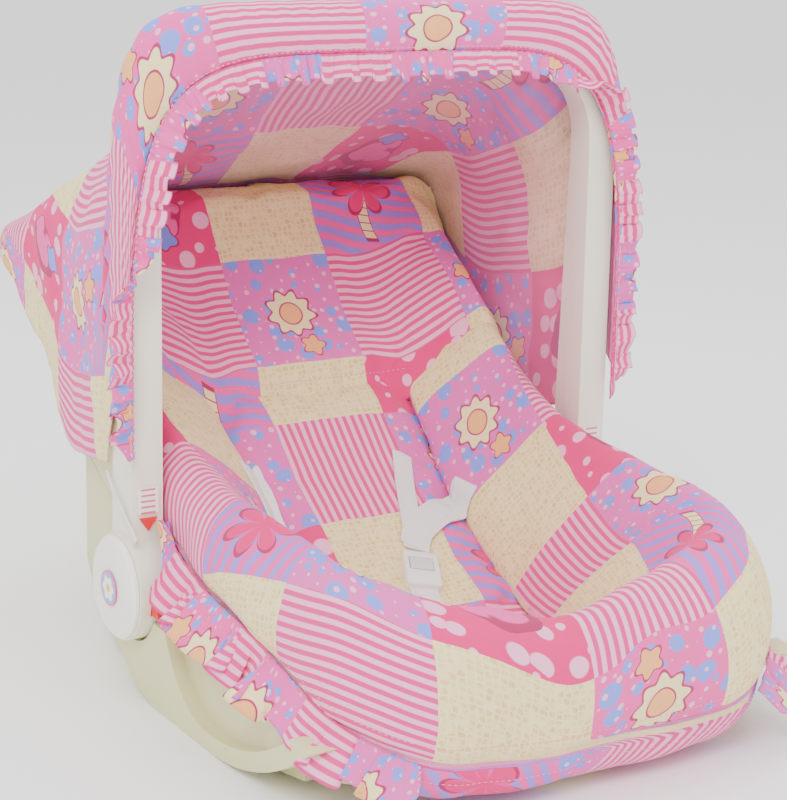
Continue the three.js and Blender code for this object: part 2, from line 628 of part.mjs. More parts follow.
function harness() {
  // crotch strap: up through its slot and back along the pad to the buckle
  const crotch = shapeOf([[-90, 26], [-88, 26], [-88, 57], [-74, 65.2], [-74, 66.9], [-90, 58.5]].reverse());
  add('crotch_strap', alongX(crotch, -STRAP / 2, STRAP / 2), 'webbing');
  buckle();
  layStrap('right_shoulder_strap', [24.5, -20], [SHOULDER_SLOT_X, 39]);
  layStrap('right_waist_strap', [47, -16], [PAD_HALF - 4, -4]);
  layStrap('left_waist_strap', [-78, -29], [-80, 38]);

  // steel keepers under the shell's floor, where the straps end
  const keeper = (name, x, y) => {
    const slope = heightAt(FLOOR_LINE.slice(2, 9), y + 1) - heightAt(FLOOR_LINE.slice(2, 9), y - 1);
    const mesh = add(name, new THREE.BoxGeometry(40, 12, 2), 'steel');
    mesh.rotation.x = Math.atan2(slope, 2);
    mesh.position.set(x, y, heightAt(FLOOR_LINE.slice(2, 9), y) - 2.4);
  };
  keeper('crotch_keeper', 0, -79);
  keeper('left_waist_keeper', -66, 30);
  keeper('right_waist_keeper', 66, 30);
}

// ---------- assembly ----------
seatShell();
rockerBase();
baseScrews();
carryHandle();
for (const [side, sign] of [['left', -1], ['right', 1]]) {
  rockerRail(side, sign);
  hub(side, sign);
  sideBolster(side, sign);
  sideFrill(side, sign);
  hoodTape(side, sign);
}
seatPad();
backPad();
footBolster();
sunHood();
harness();

const bounds = new THREE.Box3().setFromObject(carSeat);
carSeat.position.y = -(bounds.min.y + bounds.max.y) / 2;
carSeat.position.z = -bounds.min.z;

export default carSeat;
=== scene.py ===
import json
import math

import bmesh
import bpy
import numpy as np
from mathutils import Matrix, Vector, noise
from mathutils.bvhtree import BVHTree


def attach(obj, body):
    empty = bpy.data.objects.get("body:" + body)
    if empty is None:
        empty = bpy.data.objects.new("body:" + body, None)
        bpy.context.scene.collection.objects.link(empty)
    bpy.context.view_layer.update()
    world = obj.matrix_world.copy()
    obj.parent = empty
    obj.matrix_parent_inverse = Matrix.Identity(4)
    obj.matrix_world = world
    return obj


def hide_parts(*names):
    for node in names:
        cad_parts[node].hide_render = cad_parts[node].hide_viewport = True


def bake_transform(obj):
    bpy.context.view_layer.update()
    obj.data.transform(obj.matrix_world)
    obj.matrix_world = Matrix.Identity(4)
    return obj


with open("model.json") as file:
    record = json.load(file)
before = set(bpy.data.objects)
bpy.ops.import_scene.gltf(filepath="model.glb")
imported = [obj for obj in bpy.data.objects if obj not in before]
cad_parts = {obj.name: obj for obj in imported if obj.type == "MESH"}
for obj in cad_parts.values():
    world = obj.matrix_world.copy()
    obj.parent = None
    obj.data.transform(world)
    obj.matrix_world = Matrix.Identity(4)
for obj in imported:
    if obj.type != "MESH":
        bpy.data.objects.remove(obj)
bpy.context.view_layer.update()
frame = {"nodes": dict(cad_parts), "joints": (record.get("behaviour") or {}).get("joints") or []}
nodes = frame["nodes"]
scene = bpy.context.scene

MM = 0.001
TAU = 2 * math.pi
HINGE = next(joint for joint in frame["joints"] if joint["name"] == "handle_tilt")
HUB_Y = HINGE["pos_m"][1]        # outlines below are in millimetres, with Y measured from the hub's axis
HUB_Z = HINGE["pos_m"][2]
PATCH = 0.095                    # side of one square of the patchwork


# ---------- camera ----------
AZIMUTH, PITCH, ROLL = math.radians(31), math.radians(14), math.radians(1.2)
LENS = 98.1
CAMERA_PLACE = Vector((-0.80488, -1.36386, 0.59336))


def make_camera():
    """A long lens at the foot end, to the left and a little above."""
    side = Vector((math.cos(AZIMUTH), -math.sin(AZIMUTH), 0))
    level = Vector((math.sin(AZIMUTH), math.cos(AZIMUTH), 0))
    ahead = level * math.cos(PITCH) - Vector((0, 0, math.sin(PITCH)))
    up = side.cross(ahead)
    turned_side = side * math.cos(ROLL) + up * math.sin(ROLL)
    turned_up = up * math.cos(ROLL) - side * math.sin(ROLL)
    camera = bpy.data.objects.new("camera", bpy.data.cameras.new("camera"))
    camera.data.lens = LENS
    camera.data.sensor_width = 36
    turn = Matrix((turned_side, turned_up, -ahead)).transposed()
    camera.matrix_world = Matrix.Translation(CAMERA_PLACE) @ turn.to_4x4()
    scene.collection.objects.link(camera)
    scene.camera = camera


make_camera()


# ---------- colours ----------
def srgb(code):
    """Linear colour of a six-figure hex code."""
    parts = [int(code[i:i + 2], 16) / 255 for i in (0, 2, 4)]
    return tuple(p / 12.92 if p <= 0.04045 else ((p + 0.055) / 1.055) ** 2.4 for p in parts) + (1,)


ROSE = srgb("f857a8")
HOT_PINK = srgb("ee2a7c")
PALE_PINK = srgb("ffb0d4")
STRIPE_PINK = srgb("ea3f8c")
LILAC = srgb("a084e4")
PERIWINKLE = srgb("8292f2")
CREAM = srgb("fbe8ae")
TAN = srgb("e2bf7c")
PEACH = srgb("fcb274")
OUTLINE = srgb("b52a62")


# ---------- shader wiring ----------
class Wiring:
    """Short calls that add nodes to one shader tree."""

    def __init__(self, tree):
        self.tree = tree

    def node(self, kind, **values):
        made = self.tree.nodes.new(kind)
        for name, value in values.items():
            setattr(made, name, value)
        return made

    def feed(self, value, socket):
        if isinstance(value, bpy.types.NodeSocket):
            self.tree.links.new(value, socket)
        else:
            socket.default_value = value

    def math(self, operation, *values, clamp=False):
        made = self.node("ShaderNodeMath", operation=operation, use_clamp=clamp)
        for socket, value in zip(made.inputs, values):
            self.feed(value, socket)
        return made.outputs[0]

    def mix(self, factor, low, high):
        made = self.node("ShaderNodeMix", data_type="RGBA")
        for index, value in ((0, factor), (6, low), (7, high)):
            self.feed(value, made.inputs[index])
        return made.outputs[2]

    def ramp(self, value, low, high):
        """0 below low, 1 above high, smooth between them."""
        made = self.node("ShaderNodeMapRange", interpolation_type="SMOOTHSTEP")
        self.feed(value, made.inputs["Value"])
        made.inputs["From Min"].default_value = low
        made.inputs["From Max"].default_value = high
        return made.outputs["Result"]

    def split(self, vector):
        made = self.node("ShaderNodeSeparateXYZ")
        self.feed(vector, made.inputs[0])
        return made.outputs[0], made.outputs[1], made.outputs[2]

    def join(self, x, y, z=0.0):
        made = self.node("ShaderNodeCombineXYZ")
        for socket, value in zip(made.inputs, (x, y, z)):
            self.feed(value, socket)
        return made.outputs[0]

    def noise(self, vector, scale, detail=2.0):
        made = self.node("ShaderNodeTexNoise")
        self.feed(vector, made.inputs["Vector"])
        made.inputs["Scale"].default_value = scale
        made.inputs["Detail"].default_value = detail
        return made.outputs["Fac"]


def polar(w, x, y):
    radius = w.math("SQRT", w.math("ADD", w.math("MULTIPLY", x, x), w.math("MULTIPLY", y, y)))
    return radius, w.math("ARCTAN2", y, x)


def inked(w, ground, fill, edge, soft=0.05, line=0.12):
    """A filled shape, edge being 1 on its rim and smaller inside, with a darker outline."""
    outlined = w.mix(w.math("SUBTRACT", 1.0, w.ramp(edge, 1 + line, 1 + line + soft)), ground, OUTLINE)
    return w.mix(w.math("SUBTRACT", 1.0, w.ramp(edge, 1 - soft, 1)), outlined, fill)


def scallop(w, radius, angle, size, lobes, depth):
    """Distance over the rim of a lobed disc."""
    wave = w.math("MULTIPLY_ADD", w.math("COSINE", w.math("MULTIPLY", angle, lobes)), depth, 1.0)
    return w.math("DIVIDE", radius, w.math("MULTIPLY", wave, size))


def dots(w, place, scale, low, spread):
    """Round dots of several sizes, as a mask."""
    cells = w.node("ShaderNodeTexVoronoi", voronoi_dimensions="2D")
    w.feed(place, cells.inputs["Vector"])
    cells.inputs["Scale"].default_value = scale
    cells.inputs["Randomness"].default_value = 0.75
    chance, _, _ = w.split(cells.outputs["Color"])
    size = w.math("MULTIPLY_ADD", chance, spread, low)
    over = w.math("DIVIDE", cells.outputs["Distance"], size)
    return w.math("SUBTRACT", 1.0, w.ramp(over, 0.9, 1.08))


def stripes(w, along, period):
    wave = w.math("SINE", w.math("MULTIPLY", along, TAU / period))
    return w.ramp(wave, -0.35, 0.35)


def patchwork_group():
    """The printed cloth: squares of stripes, mottle, dots and three generic motifs."""
    tree = bpy.data.node_groups.new("patchwork print", "ShaderNodeTree")
    tree.interface.new_socket("Place", in_out="INPUT", socket_type="NodeSocketVector")
    tree.interface.new_socket("Color", in_out="OUTPUT", socket_type="NodeSocketColor")
    tree.interface.new_socket("Height", in_out="OUTPUT", socket_type="NodeSocketFloat")
    w = Wiring(tree)
    start = w.node("NodeGroupInput")
    end = w.node("NodeGroupOutput")
    place = start.outputs["Place"]
    u, v, _ = w.split(place)
    wobble = w.math("SUBTRACT", w.noise(place, 30), 0.5)
    across = w.math("DIVIDE", w.math("MULTIPLY_ADD", wobble, 0.0035, u), PATCH)
    along = w.math("DIVIDE", w.math("MULTIPLY_ADD", wobble, -0.0035, v), PATCH)
    column = w.math("FLOOR", across)
    row = w.math("FLOOR", along)
    x = w.math("MULTIPLY", w.math("SUBTRACT", w.math("FRACT", across), 0.5), PATCH)
    y = w.math("MULTIPLY", w.math("SUBTRACT", w.math("FRACT", along), 0.5), PATCH)

    odd_row = w.math("FLOORED_MODULO", row, 2.0)
    odd_column = w.math("FLOORED_MODULO", column, 2.0)
    half_row = w.math("FLOOR", w.math("DIVIDE", row, 2.0))
    half_column = w.math("FLOOR", w.math("DIVIDE", column, 2.0))
    striped = w.math("FLOORED_MODULO", w.math("ADD", column, half_row), 2.0)
    second = w.math("FLOORED_MODULO", w.math("ADD", half_column, half_row), 2.0)

    # each square's motif is turned by a quarter, by chance
    chance = w.node("ShaderNodeTexWhiteNoise", noise_dimensions="2D")
    w.feed(w.join(column, row), chance.inputs["Vector"])
    quarter = w.math("FLOOR", w.math("MULTIPLY", chance.outputs["Value"], 4.0))
    turn = w.math("MULTIPLY_ADD", quarter, TAU / 4, 0.35)
    c = w.math("COSINE", turn)
    s = w.math("SINE", turn)
    mx = w.math("SUBTRACT", w.math("MULTIPLY", x, c), w.math("MULTIPLY", y, s))
    my = w.math("ADD", w.math("MULTIPLY", x, s), w.math("MULTIPLY", y, c))

    # pink stripes, upright or level
    level = w.math("FLOORED_MODULO", half_row, 2.0)
    run = w.math("ADD", w.math("MULTIPLY", u, level), w.math("MULTIPLY", v, w.math("SUBTRACT", 1.0, level)))
    stripe_square = w.mix(stripes(w, run, 0.0068), STRIPE_PINK, PALE_PINK)

    # cream with small mottled tiles
    tiles = w.node("ShaderNodeTexVoronoi", voronoi_dimensions="2D", feature="DISTANCE_TO_EDGE")
    w.feed(place, tiles.inputs["Vector"])
    tiles.inputs["Scale"].default_value = 205
    tiles.inputs["Randomness"].default_value = 0.45
    tile = w.ramp(tiles.outputs["Distance"], 0.05, 0.2)
    mottle = w.math("MULTIPLY", tile, w.ramp(w.noise(place, 140, 3), 0.3, 0.75))
    cream_square = w.mix(mottle, CREAM, TAN)

    # slanted lilac stripes with a blossom on a jointed stem
    slant = w.math("MULTIPLY_ADD", u, 0.32, v)
    bent = w.math("MULTIPLY_ADD", wobble, 0.006, slant)
    lilac_ground = w.mix(stripes(w, bent, 0.0125), ROSE, LILAC)
    stem_bend = w.math("MULTIPLY", w.math("MULTIPLY", my, my), 9.0)
    stem_x = w.math("ABSOLUTE", w.math("SUBTRACT", mx, stem_bend))
    stem_wide = w.math("DIVIDE", stem_x, 0.0048)
    stem_long = w.math("DIVIDE", w.math("ABSOLUTE", w.math("ADD", my, 0.019)), 0.018)
    stem = inked(w, lilac_ground, CREAM, w.math("MAXIMUM", stem_wide, stem_long))
    joint = w.ramp(w.math("SINE", w.math("MULTIPLY", my, TAU / 0.0065)), 0.86, 0.95)
    inside_stem = w.math("LESS_THAN", w.math("MAXIMUM", stem_wide, stem_long), 1.0)
    stem = w.mix(w.math("MULTIPLY", joint, inside_stem), stem, OUTLINE)
    radius, angle = polar(w, mx, w.math("SUBTRACT", my, 0.009))
    lobe = w.math("POWER", w.math("ABSOLUTE", w.math("COSINE", w.math("MULTIPLY", angle, 3.5))), 0.55)
    reach = w.math("MULTIPLY_ADD", lobe, 0.019, 0.0075)
    petal = w.math("DIVIDE", radius, reach)
    veined = w.mix(w.ramp(w.math("SUBTRACT", petal, lobe), 0.0, 0.5), HOT_PINK, ROSE)
    blossom_square = inked(w, stem, veined, petal, line=0.07)

    # rose with round spots and a cream scalloped flower
    ground = w.mix(w.ramp(w.noise(w.join(column, row), 3.1), 0.45, 0.55), ROSE, srgb("ea66b8"))
    spotted = w.mix(dots(w, place, 52, 0.12, 0.3), ground, PERIWINKLE)
    spotted = w.mix(dots(w, w.join(v, u), 95, 0.02, 0.2), spotted, PALE_PINK)
    radius, angle = polar(w, mx, my)
    flower = inked(w, spotted, CREAM, scallop(w, radius, angle, 0.0185, 9.0, 0.13), line=0.06)
    flower = inked(w, flower, PEACH, w.math("DIVIDE", radius, 0.0095), line=0.08)
    radius, angle = polar(w, w.math("ADD", mx, 0.027), w.math("ADD", my, 0.019))
    spotted_square = inked(w, flower, PEACH, scallop(w, radius, angle, 0.0085, 5.0, 0.2), line=0.1)

    # hot pink with pale dots and a heart
    pale = w.mix(dots(w, place, 48, 0.08, 0.3), HOT_PINK, PALE_PINK)
    hx = w.math("DIVIDE", mx, 0.0185)
    hy = w.math("DIVIDE", my, 0.0185)
    ring = w.math("SUBTRACT", w.math("ADD", w.math("MULTIPLY", hx, hx), w.math("MULTIPLY", hy, hy)), 1.0)
    cube = w.math("MULTIPLY", ring, w.math("MULTIPLY", ring, ring))
    tail = w.math("MULTIPLY", w.math("MULTIPLY", hx, hx), w.math("MULTIPLY", hy, w.math("MULTIPLY", hy, hy)))
    heart = inked(w, pale, ROSE, w.math("ADD", w.math("SUBTRACT", cube, tail), 1.0), line=0.28)
    radius, angle = polar(w, w.math("SUBTRACT", mx, 0.021), w.math("SUBTRACT", my, 0.012))
    heart_square = inked(w, heart, PERIWINKLE, scallop(w, radius, angle, 0.0095, 4.0, 0.18), line=0.1)

    even = w.mix(striped, spotted_square, stripe_square)
    motif = w.mix(second, blossom_square, heart_square)
    odd = w.mix(odd_column, cream_square, motif)
    colour = w.mix(odd_row, even, odd)
    thread = w.noise(w.join(w.math("MULTIPLY", u, 5.0), v), 900, 2)
    tint = w.mix(w.ramp(thread, 0.2, 0.8), (0.93, 0.93, 0.93, 1), (1, 1, 1, 1))
    worn = w.node("ShaderNodeMix", data_type="RGBA", blend_type="MULTIPLY")
    worn.inputs[0].default_value = 1
    w.feed(colour, worn.inputs[6])
    w.feed(tint, worn.inputs[7])
    w.feed(worn.outputs[2], end.inputs["Color"])
    warp = w.math("SINE", w.math("MULTIPLY", u, TAU / 0.0009))
    weft = w.math("SINE", w.math("MULTIPLY", v, TAU / 0.0009))
    w.feed(w.math("MULTIPLY", warp, weft), end.inputs["Height"])
    return tree


def shader(name):
    """A new material, its wiring and its Principled node."""
    material = bpy.data.materials.new(name)
    material.use_nodes = True
    return material, Wiring(material.node_tree), material.node_tree.nodes["Principled BSDF"]


def bump(w, principled, height, strength, distance):
    made = w.node("ShaderNodeBump")
    made.inputs["Strength"].default_value = strength
    made.inputs["Distance"].default_value = distance
    w.feed(height, made.inputs["Height"])
    w.feed(made.outputs[0], principled.inputs["Normal"])


def printed_cloth(name, painted_shade=0.0, quilt=0.0006):
    """Cotton with the patchwork print, laid by the piece's own cloth map."""
    material, w, principled = shader(name)
    print_node = w.node("ShaderNodeGroup", node_tree=PRINT)
    place = w.node("ShaderNodeUVMap", uv_map="cloth").outputs[0]
    w.feed(place, print_node.inputs["Place"])
    colour = print_node.outputs["Color"]
    # painted shade: the print is mixed towards mauve by this share, for the shade inside the hood
    if painted_shade:
        colour = w.mix(painted_shade, colour, srgb("c98fc0"))
    w.feed(colour, principled.inputs["Base Color"])
    principled.inputs["Roughness"].default_value = 0.88
    principled.inputs["Sheen Weight"].default_value = 0.12
    principled.inputs["Sheen Roughness"].default_value = 0.5
    principled.inputs["Specular IOR Level"].default_value = 0.25
    creases = w.noise(place, 42, 4)
    weave = w.math("MULTIPLY", print_node.outputs["Height"], 0.05)
    bump(w, principled, w.math("ADD", creases, weave), 0.55, quilt * 4)
    return material


def moulded(name, colour, roughness, grain=0.00006):
    """Moulded plastic: slight mottle, fine grain, roughness that varies at random, and a painted highlight
    that makes convex edges lighter.
    """
    material, w, principled = shader(name)
    place = w.node("ShaderNodeTexCoord").outputs["Object"]
    cloud = w.noise(place, 9, 3)
    shade = tuple(c * 0.93 for c in colour[:3]) + (1,)
    # painted highlight: convex edges, found by pointiness, are mixed towards a lighter copy of the colour
    edge_highlight = w.ramp(w.node("ShaderNodeNewGeometry").outputs["Pointiness"], 0.52, 0.6)
    tinted = w.mix(w.ramp(cloud, 0.25, 0.8), shade, colour)
    light = tuple(min(1, c * 1.05) for c in colour[:3]) + (1,)
    w.feed(w.mix(edge_highlight, tinted, light), principled.inputs["Base Color"])
    dull = w.math("MULTIPLY_ADD", w.noise(place, 60, 4), 0.16, roughness - 0.08)
    w.feed(dull, principled.inputs["Roughness"])
    bump(w, principled, w.noise(place, 1400, 2), 0.35, grain)
    return material


def metal(name, colour, roughness):
    material, w, principled = shader(name)
    place = w.node("ShaderNodeTexCoord").outputs["Object"]
    principled.inputs["Metallic"].default_value = 1
    dark = tuple(c * 0.75 for c in colour[:3]) + (1,)
    w.feed(w.mix(w.noise(place, 120, 4), dark, colour), principled.inputs["Base Color"])
    w.feed(w.math("MULTIPLY_ADD", w.noise(place, 400, 3), 0.2, roughness), principled.inputs["Roughness"])
    return material


def woven(name, colour, period=0.0016):
    """White webbing: ribs along the strap, laid by its cloth map."""
    material, w, principled = shader(name)
    place = w.node("ShaderNodeUVMap", uv_map="cloth").outputs[0]
    u, v, _ = w.split(place)
    rib = w.math("SINE", w.math("MULTIPLY", u, TAU / period))
    pick = w.math("SINE", w.math("MULTIPLY", v, TAU / period))
    height = w.math("MULTIPLY", rib, pick)
    # painted shade: the low parts of the weave are coloured darker, as the shade in its grooves
    shade = tuple(c * 0.82 for c in colour[:3]) + (1,)
    w.feed(w.mix(w.ramp(height, -1.0, 0.6), shade, colour), principled.inputs["Base Color"])
    principled.inputs["Roughness"].default_value = 0.8
    bump(w, principled, height, 0.6, 0.0002)
    return material


def emblem():
    """A round badge: a white scalloped flower with a coloured middle on sky blue."""
    material, w, principled = shader("badge")
    _, y, z = w.split(w.node("ShaderNodeTexCoord").outputs["Object"])
    radius, angle = polar(w, w.math("SUBTRACT", y, HUB_Y), w.math("SUBTRACT", z, HUB_Z))
    white = w.ramp(scallop(w, radius, angle, 0.0085, 6.0, 0.16), 0.97, 1.03)
    colour = w.mix(white, srgb("f8f6ef"), srgb("5fb4ea"))
    colour = w.mix(w.ramp(radius, 0.0031, 0.0034), srgb("f4b73c"), colour)
    colour = w.mix(w.ramp(radius, 0.0112, 0.0115), colour, srgb("e9579a"))
    w.feed(colour, principled.inputs["Base Color"])
    principled.inputs["Roughness"].default_value = 0.3
    return material


def label_film():
    """Pale film with a few red bars."""
    material, w, principled = shader("label film")
    x, _, z = w.split(w.node("ShaderNodeTexCoord").outputs["Object"])
    bar = w.ramp(w.math("SINE", w.math("MULTIPLY", z, TAU / 0.0042)), 0.35, 0.5)
    inside = w.math("LESS_THAN", w.math("ABSOLUTE", w.math("SUBTRACT", w.math("ABSOLUTE", x), 0.192)), 0.0055)
    colour = w.mix(w.math("MULTIPLY", bar, inside), srgb("f7f1ec"), srgb("d86a70"))
    w.feed(colour, principled.inputs["Base Color"])
    principled.inputs["Roughness"].default_value = 0.4
    return material


PRINT = patchwork_group()
LINER = printed_cloth("liner print")
HOOD_CLOTH = printed_cloth("hood print", quilt=0.0004)
# the hood's inside faces: the print with painted shade in mauve
HOOD_INSIDE = printed_cloth("hood inside", painted_shade=0.34, quilt=0.0004)
FRILL_CLOTH = printed_cloth("frill print", quilt=0.0003)
SHELL_PLASTIC = moulded("cream shell plastic", srgb("d8d49f"), 0.36)
HANDLE_PLASTIC = moulded("off-white handle plastic", srgb("f0ebd8"), 0.33)
CAP_PLASTIC = moulded("hub cover plastic", srgb("f6f5ec"), 0.3)
RED_PLASTIC = moulded("red plastic", srgb("d81f26"), 0.3)
LABEL_FILM = label_film()
BADGE_INK = emblem()
GREY_NYLON = moulded("grey nylon", srgb("a3a6a8"), 0.5)
BUCKLE_PLASTIC = moulded("buckle plastic", srgb("f3f3f0"), 0.32)
BUCKLE_BUTTON = moulded("buckle button plastic", srgb("d9dad6"), 0.4)
ZINC = metal("zinc plate", srgb("c9cbcd"), 0.28)
WEBBING = woven("white webbing", srgb("f3f2ee"))
THREAD = moulded("sewing thread", srgb("f08fc0"), 0.7)
WEB_THREAD = moulded("webbing thread", srgb("d3d0c8"), 0.7)


# ---------- mesh making ----------
def new_piece(name, mesh, material):
    piece = bpy.data.objects.new(name, mesh)
    scene.collection.objects.link(piece)
    mesh.materials.append(material)
    return piece


def drawn(points):
    """Millimetres from the hub's axis to metres in the frame."""
    points = np.asarray(points, float) * MM
    points[..., 1] += HUB_Y
    return points


def lengths(points, axis):
    """Running length along one axis of a grid of points, averaged over the other."""
    steps = np.linalg.norm(np.diff(points, axis=axis), axis=2).mean(axis=1 - axis)
    return np.concatenate([[0], np.cumsum(steps)])


def between(before, a, b, after, f):
    """The Catmull-Rom point at part f of the way from a to b."""
    return 0.5 * (2 * a + (b - before) * f + (2 * before - 5 * a + 4 * b - after) * f * f
                  + (3 * a - before - 3 * b + after) * f ** 3)


def smooth_line(stations, count):
    """A Catmull-Rom curve through stations, each any array of numbers, at count even steps."""
    stations = np.asarray(stations, float)
    last = len(stations) - 1
    rows = []
    for t in np.linspace(0, last, count):
        i = min(int(t), last - 1)
        f = t - i
        before, a, b, after = (stations[min(max(k, 0), last)] for k in (i - 1, i, i + 1, i + 2))
        rows.append(between(before, a, b, after, f))
    return np.array(rows)


def smooth_ring(stations, count):
    """The same through a closed ring of stations, without repeating the first point."""
    stations = np.asarray(stations, float)
    n = len(stations)
    rows = []
    for t in np.arange(count) * n / count:
        i = int(t)
        f = t - i
        before, a, b, after = (stations[k % n] for k in (i - 1, i, i + 1, i + 2))
        rows.append(between(before, a, b, after, f))
    return np.array(rows)


def grid_mesh(name, points, flat, ring=False):
    """A mesh of quads from a grid of points, its cloth map from flat (u, v), one more column when ring."""
    rows, columns = points.shape[:2]
    spans = columns if ring else columns - 1
    faces, corners = [], []
    for r in range(rows - 1):
        for c in range(spans):
            d = (c + 1) % columns
            faces.append((r * columns + c, r * columns + d, (r + 1) * columns + d, (r + 1) * columns + c))
            corners += [flat[r, c], flat[r, c + 1], flat[r + 1, c + 1], flat[r + 1, c]]
    mesh = bpy.data.meshes.new(name)
    mesh.from_pydata([tuple(p) for p in points.reshape(-1, 3)], [], faces)
    layer = mesh.uv_layers.new(name="cloth")
    layer.data.foreach_set("uv", np.array(corners, np.float32).ravel())
    mesh.shade_smooth()
    return mesh


def weld(piece, distance=0.0001):
    """Joins doubled points and turns all faces outwards."""
    edit = bmesh.new()
    edit.from_mesh(piece.data)
    bmesh.ops.remove_doubles(edit, verts=edit.verts, dist=distance)
    bmesh.ops.dissolve_degenerate(edit, edges=edit.edges, dist=1e-6)
    bmesh.ops.recalc_face_normals(edit, faces=edit.faces)
    edit.to_mesh(piece.data)
    edit.free()
    piece.data.update()


def places(piece):
    found = np.empty(len(piece.data.vertices) * 3, np.float32)
    piece.data.vertices.foreach_get("co", found)
    return found.reshape(-1, 3).astype(float)


def move_to(piece, points):
    piece.data.vertices.foreach_set("co", np.asarray(points, np.float32).ravel())
    piece.data.update()


def finish_modifiers(piece):
    """Applies every modifier on a piece."""
    graph = bpy.context.evaluated_depsgraph_get()
    mesh = bpy.data.meshes.new_from_object(piece.evaluated_get(graph))
    piece.modifiers.clear()
    piece.data = mesh


def subdivide(piece, levels=1):
    made = piece.modifiers.new("subdivide", "SUBSURF")
    made.levels = levels
    made.render_levels = levels
    finish_modifiers(piece)


def crumple(piece, height, scale, seed):
    """Soft folds, in and out along the piece's own normals."""
    points = places(piece)
    normals = np.array([v.normal[:] for v in piece.data.vertices])
    fold = np.array([noise.noise(Vector((p[0] * scale + seed, p[1] * scale, p[2] * scale))) for p in points])
    fine = np.array([noise.noise(Vector((p[0] * 60, p[1] * 34 + seed, p[2] * 34))) for p in points])
    ridge = 0.5 - np.abs(fold)
    move_to(piece, points + normals * ((fold + ridge * 0.6 + fine * 0.35) * height * MM)[:, None])


def puff(piece, held, pressure=4.0, slack=0.05, cap=0.008, frames=20):
    """Fills a closed cloth form by simulation. held is a mask of the points sewn fast."""
    rest = places(piece)
    group = piece.vertex_groups.new(name="sewn")
    group.add([int(i) for i in np.flatnonzero(held)], 1.0, "REPLACE")
    cloth = piece.modifiers.new("cloth", "CLOTH")
    settings = cloth.settings
    settings.quality = 6
    settings.mass = 0.25
    settings.tension_stiffness = 18
    settings.compression_stiffness = 12
    settings.shear_stiffness = 6
    settings.bending_stiffness = 0.6
    settings.use_pressure = True
    settings.uniform_pressure_force = pressure
    settings.shrink_min = -slack
    settings.vertex_group_mass = "sewn"
    settings.effector_weights.gravity = 0
    cloth.collision_settings.use_collision = False
    cloth.point_cache.frame_start = 1
    cloth.point_cache.frame_end = frames
    for step in range(1, frames + 1):
        scene.frame_set(step)
    graph = bpy.context.evaluated_depsgraph_get()
    done = piece.evaluated_get(graph)
    moved = np.empty(len(done.data.vertices) * 3, np.float32)
    done.data.vertices.foreach_get("co", moved)
    move = moved.reshape(-1, 3).astype(float) - rest
    size = np.linalg.norm(move, axis=1, keepdims=True)
    move *= np.minimum(1, cap / np.maximum(size, 1e-9))
    piece.modifiers.remove(cloth)
    piece.vertex_groups.clear()
    scene.frame_set(1)
    move_to(piece, rest + move)


# ---------- the padded rim: both side bolsters and the foot lip in one roll ----------
# Right half, from the middle of the foot end to the head end. Each station goes round the roll:
# crease at the seat, inner slope, crest, outer shoulder, outer face, hem, below the hem, end, back.
RIM_STATIONS = [
    [(0, -168, 36), (0, -216, 68), (0, -278, 113), (0, -303, 106), (0, -316, 74), (0, -312, 38),
     (0, -300, 14), (0, -262, 9), (0, -200, 30)],
    [(42, -166, 38), (48, -216, 74), (54, -268, 124), (60, -300, 114), (64, -315, 78), (64, -311, 36),
     (62, -300, 12), (58, -262, 9), (40, -196, 30)],
    [(70, -150, 42), (92, -200, 88), (112, -250, 138), (124, -286, 124), (130, -304, 86), (130, -300, 43),
     (124, -286, 18), (112, -250, 12), (74, -176, 32)],
    [(80, -128, 44), (112, -172, 106), (145, -218, 150), (164, -246, 138), (174, -256, 102), (173, -254, 62),
     (164, -246, 42), (148, -228, 34), (96, -150, 36)],
    [(82, -106, 46), (115, -152, 112), (151, -186, 157), (174, -194, 143), (184, -197, 114), (182, -197, 86),
     (174, -194, 76), (160, -186, 66), (104, -120, 42)],
    [(81, -78, 54), (114, -106, 116), (151, -124, 161), (174, -126, 148), (184, -126, 122), (182, -126, 97),
     (173, -124, 90), (158, -120, 80), (104, -88, 50)],
    [(80, -28, 84), (113, -42, 130), (151, -46, 165), (171, -46, 155), (178, -46, 134), (177, -46, 111),
     (170, -44, 104), (156, -42, 96), (106, -34, 74)],
    [(80, 34, 128), (113, 30, 160), (149, 26, 187), (166, 24, 180), (173, 24, 160), (172, 26, 134),
     (167, 28, 122), (156, 30, 116), (108, 36, 112)],
    [(86, 80, 166), (118, 74, 196), (150, 66, 218), (163, 62, 211), (169, 60, 196), (168, 62, 174),
     (163, 66, 165), (150, 74, 158), (110, 82, 152)],
    [(92, 112, 196), (122, 106, 214), (148, 98, 232), (160, 96, 228), (165, 94, 216), (164, 96, 202),
     (160, 98, 196), (148, 104, 190), (112, 112, 186)],
]
RIM_ROWS = 230
RIM_COLUMNS = 60
RIM_PRINT = (0.0, 0.017)
LIP_BULGES = [((28, -282, 118), (34, 40, 40), 12), ((-40, -280, 112), (26, 30, 30), -5),
              ((95, -250, 135), (30, 34, 30), 4)]     # place, reach and height of each swelling
CAP_SHRINK = (0.86, 0.6, 0.3, 0.0)      # rings that close the roll's ends


def rim_grid():
    right = np.array(RIM_STATIONS, float)
    left = right[:0:-1] * (-1, 1, 1)
    stations = np.concatenate([left, right])
    rows = smooth_line(stations, RIM_ROWS)
    return np.array([smooth_ring(row, RIM_COLUMNS) for row in rows])


def close_ends(points):
    """Adds shrinking rings at both ends of a tube of rings."""
    def cap(ring, inward):
        middle = ring.mean(axis=0)
        return [middle + (ring - middle) * s + inward * (1 - s * s) ** 0.5 * 6 for s in CAP_SHRINK]
    first = (points[0] - points[1]).mean(axis=0)
    last = (points[-1] - points[-2]).mean(axis=0)
    head = cap(points[0], first / np.linalg.norm(first))
    tail = cap(points[-1], last / np.linalg.norm(last))
    return np.concatenate([head[::-1], points, tail])


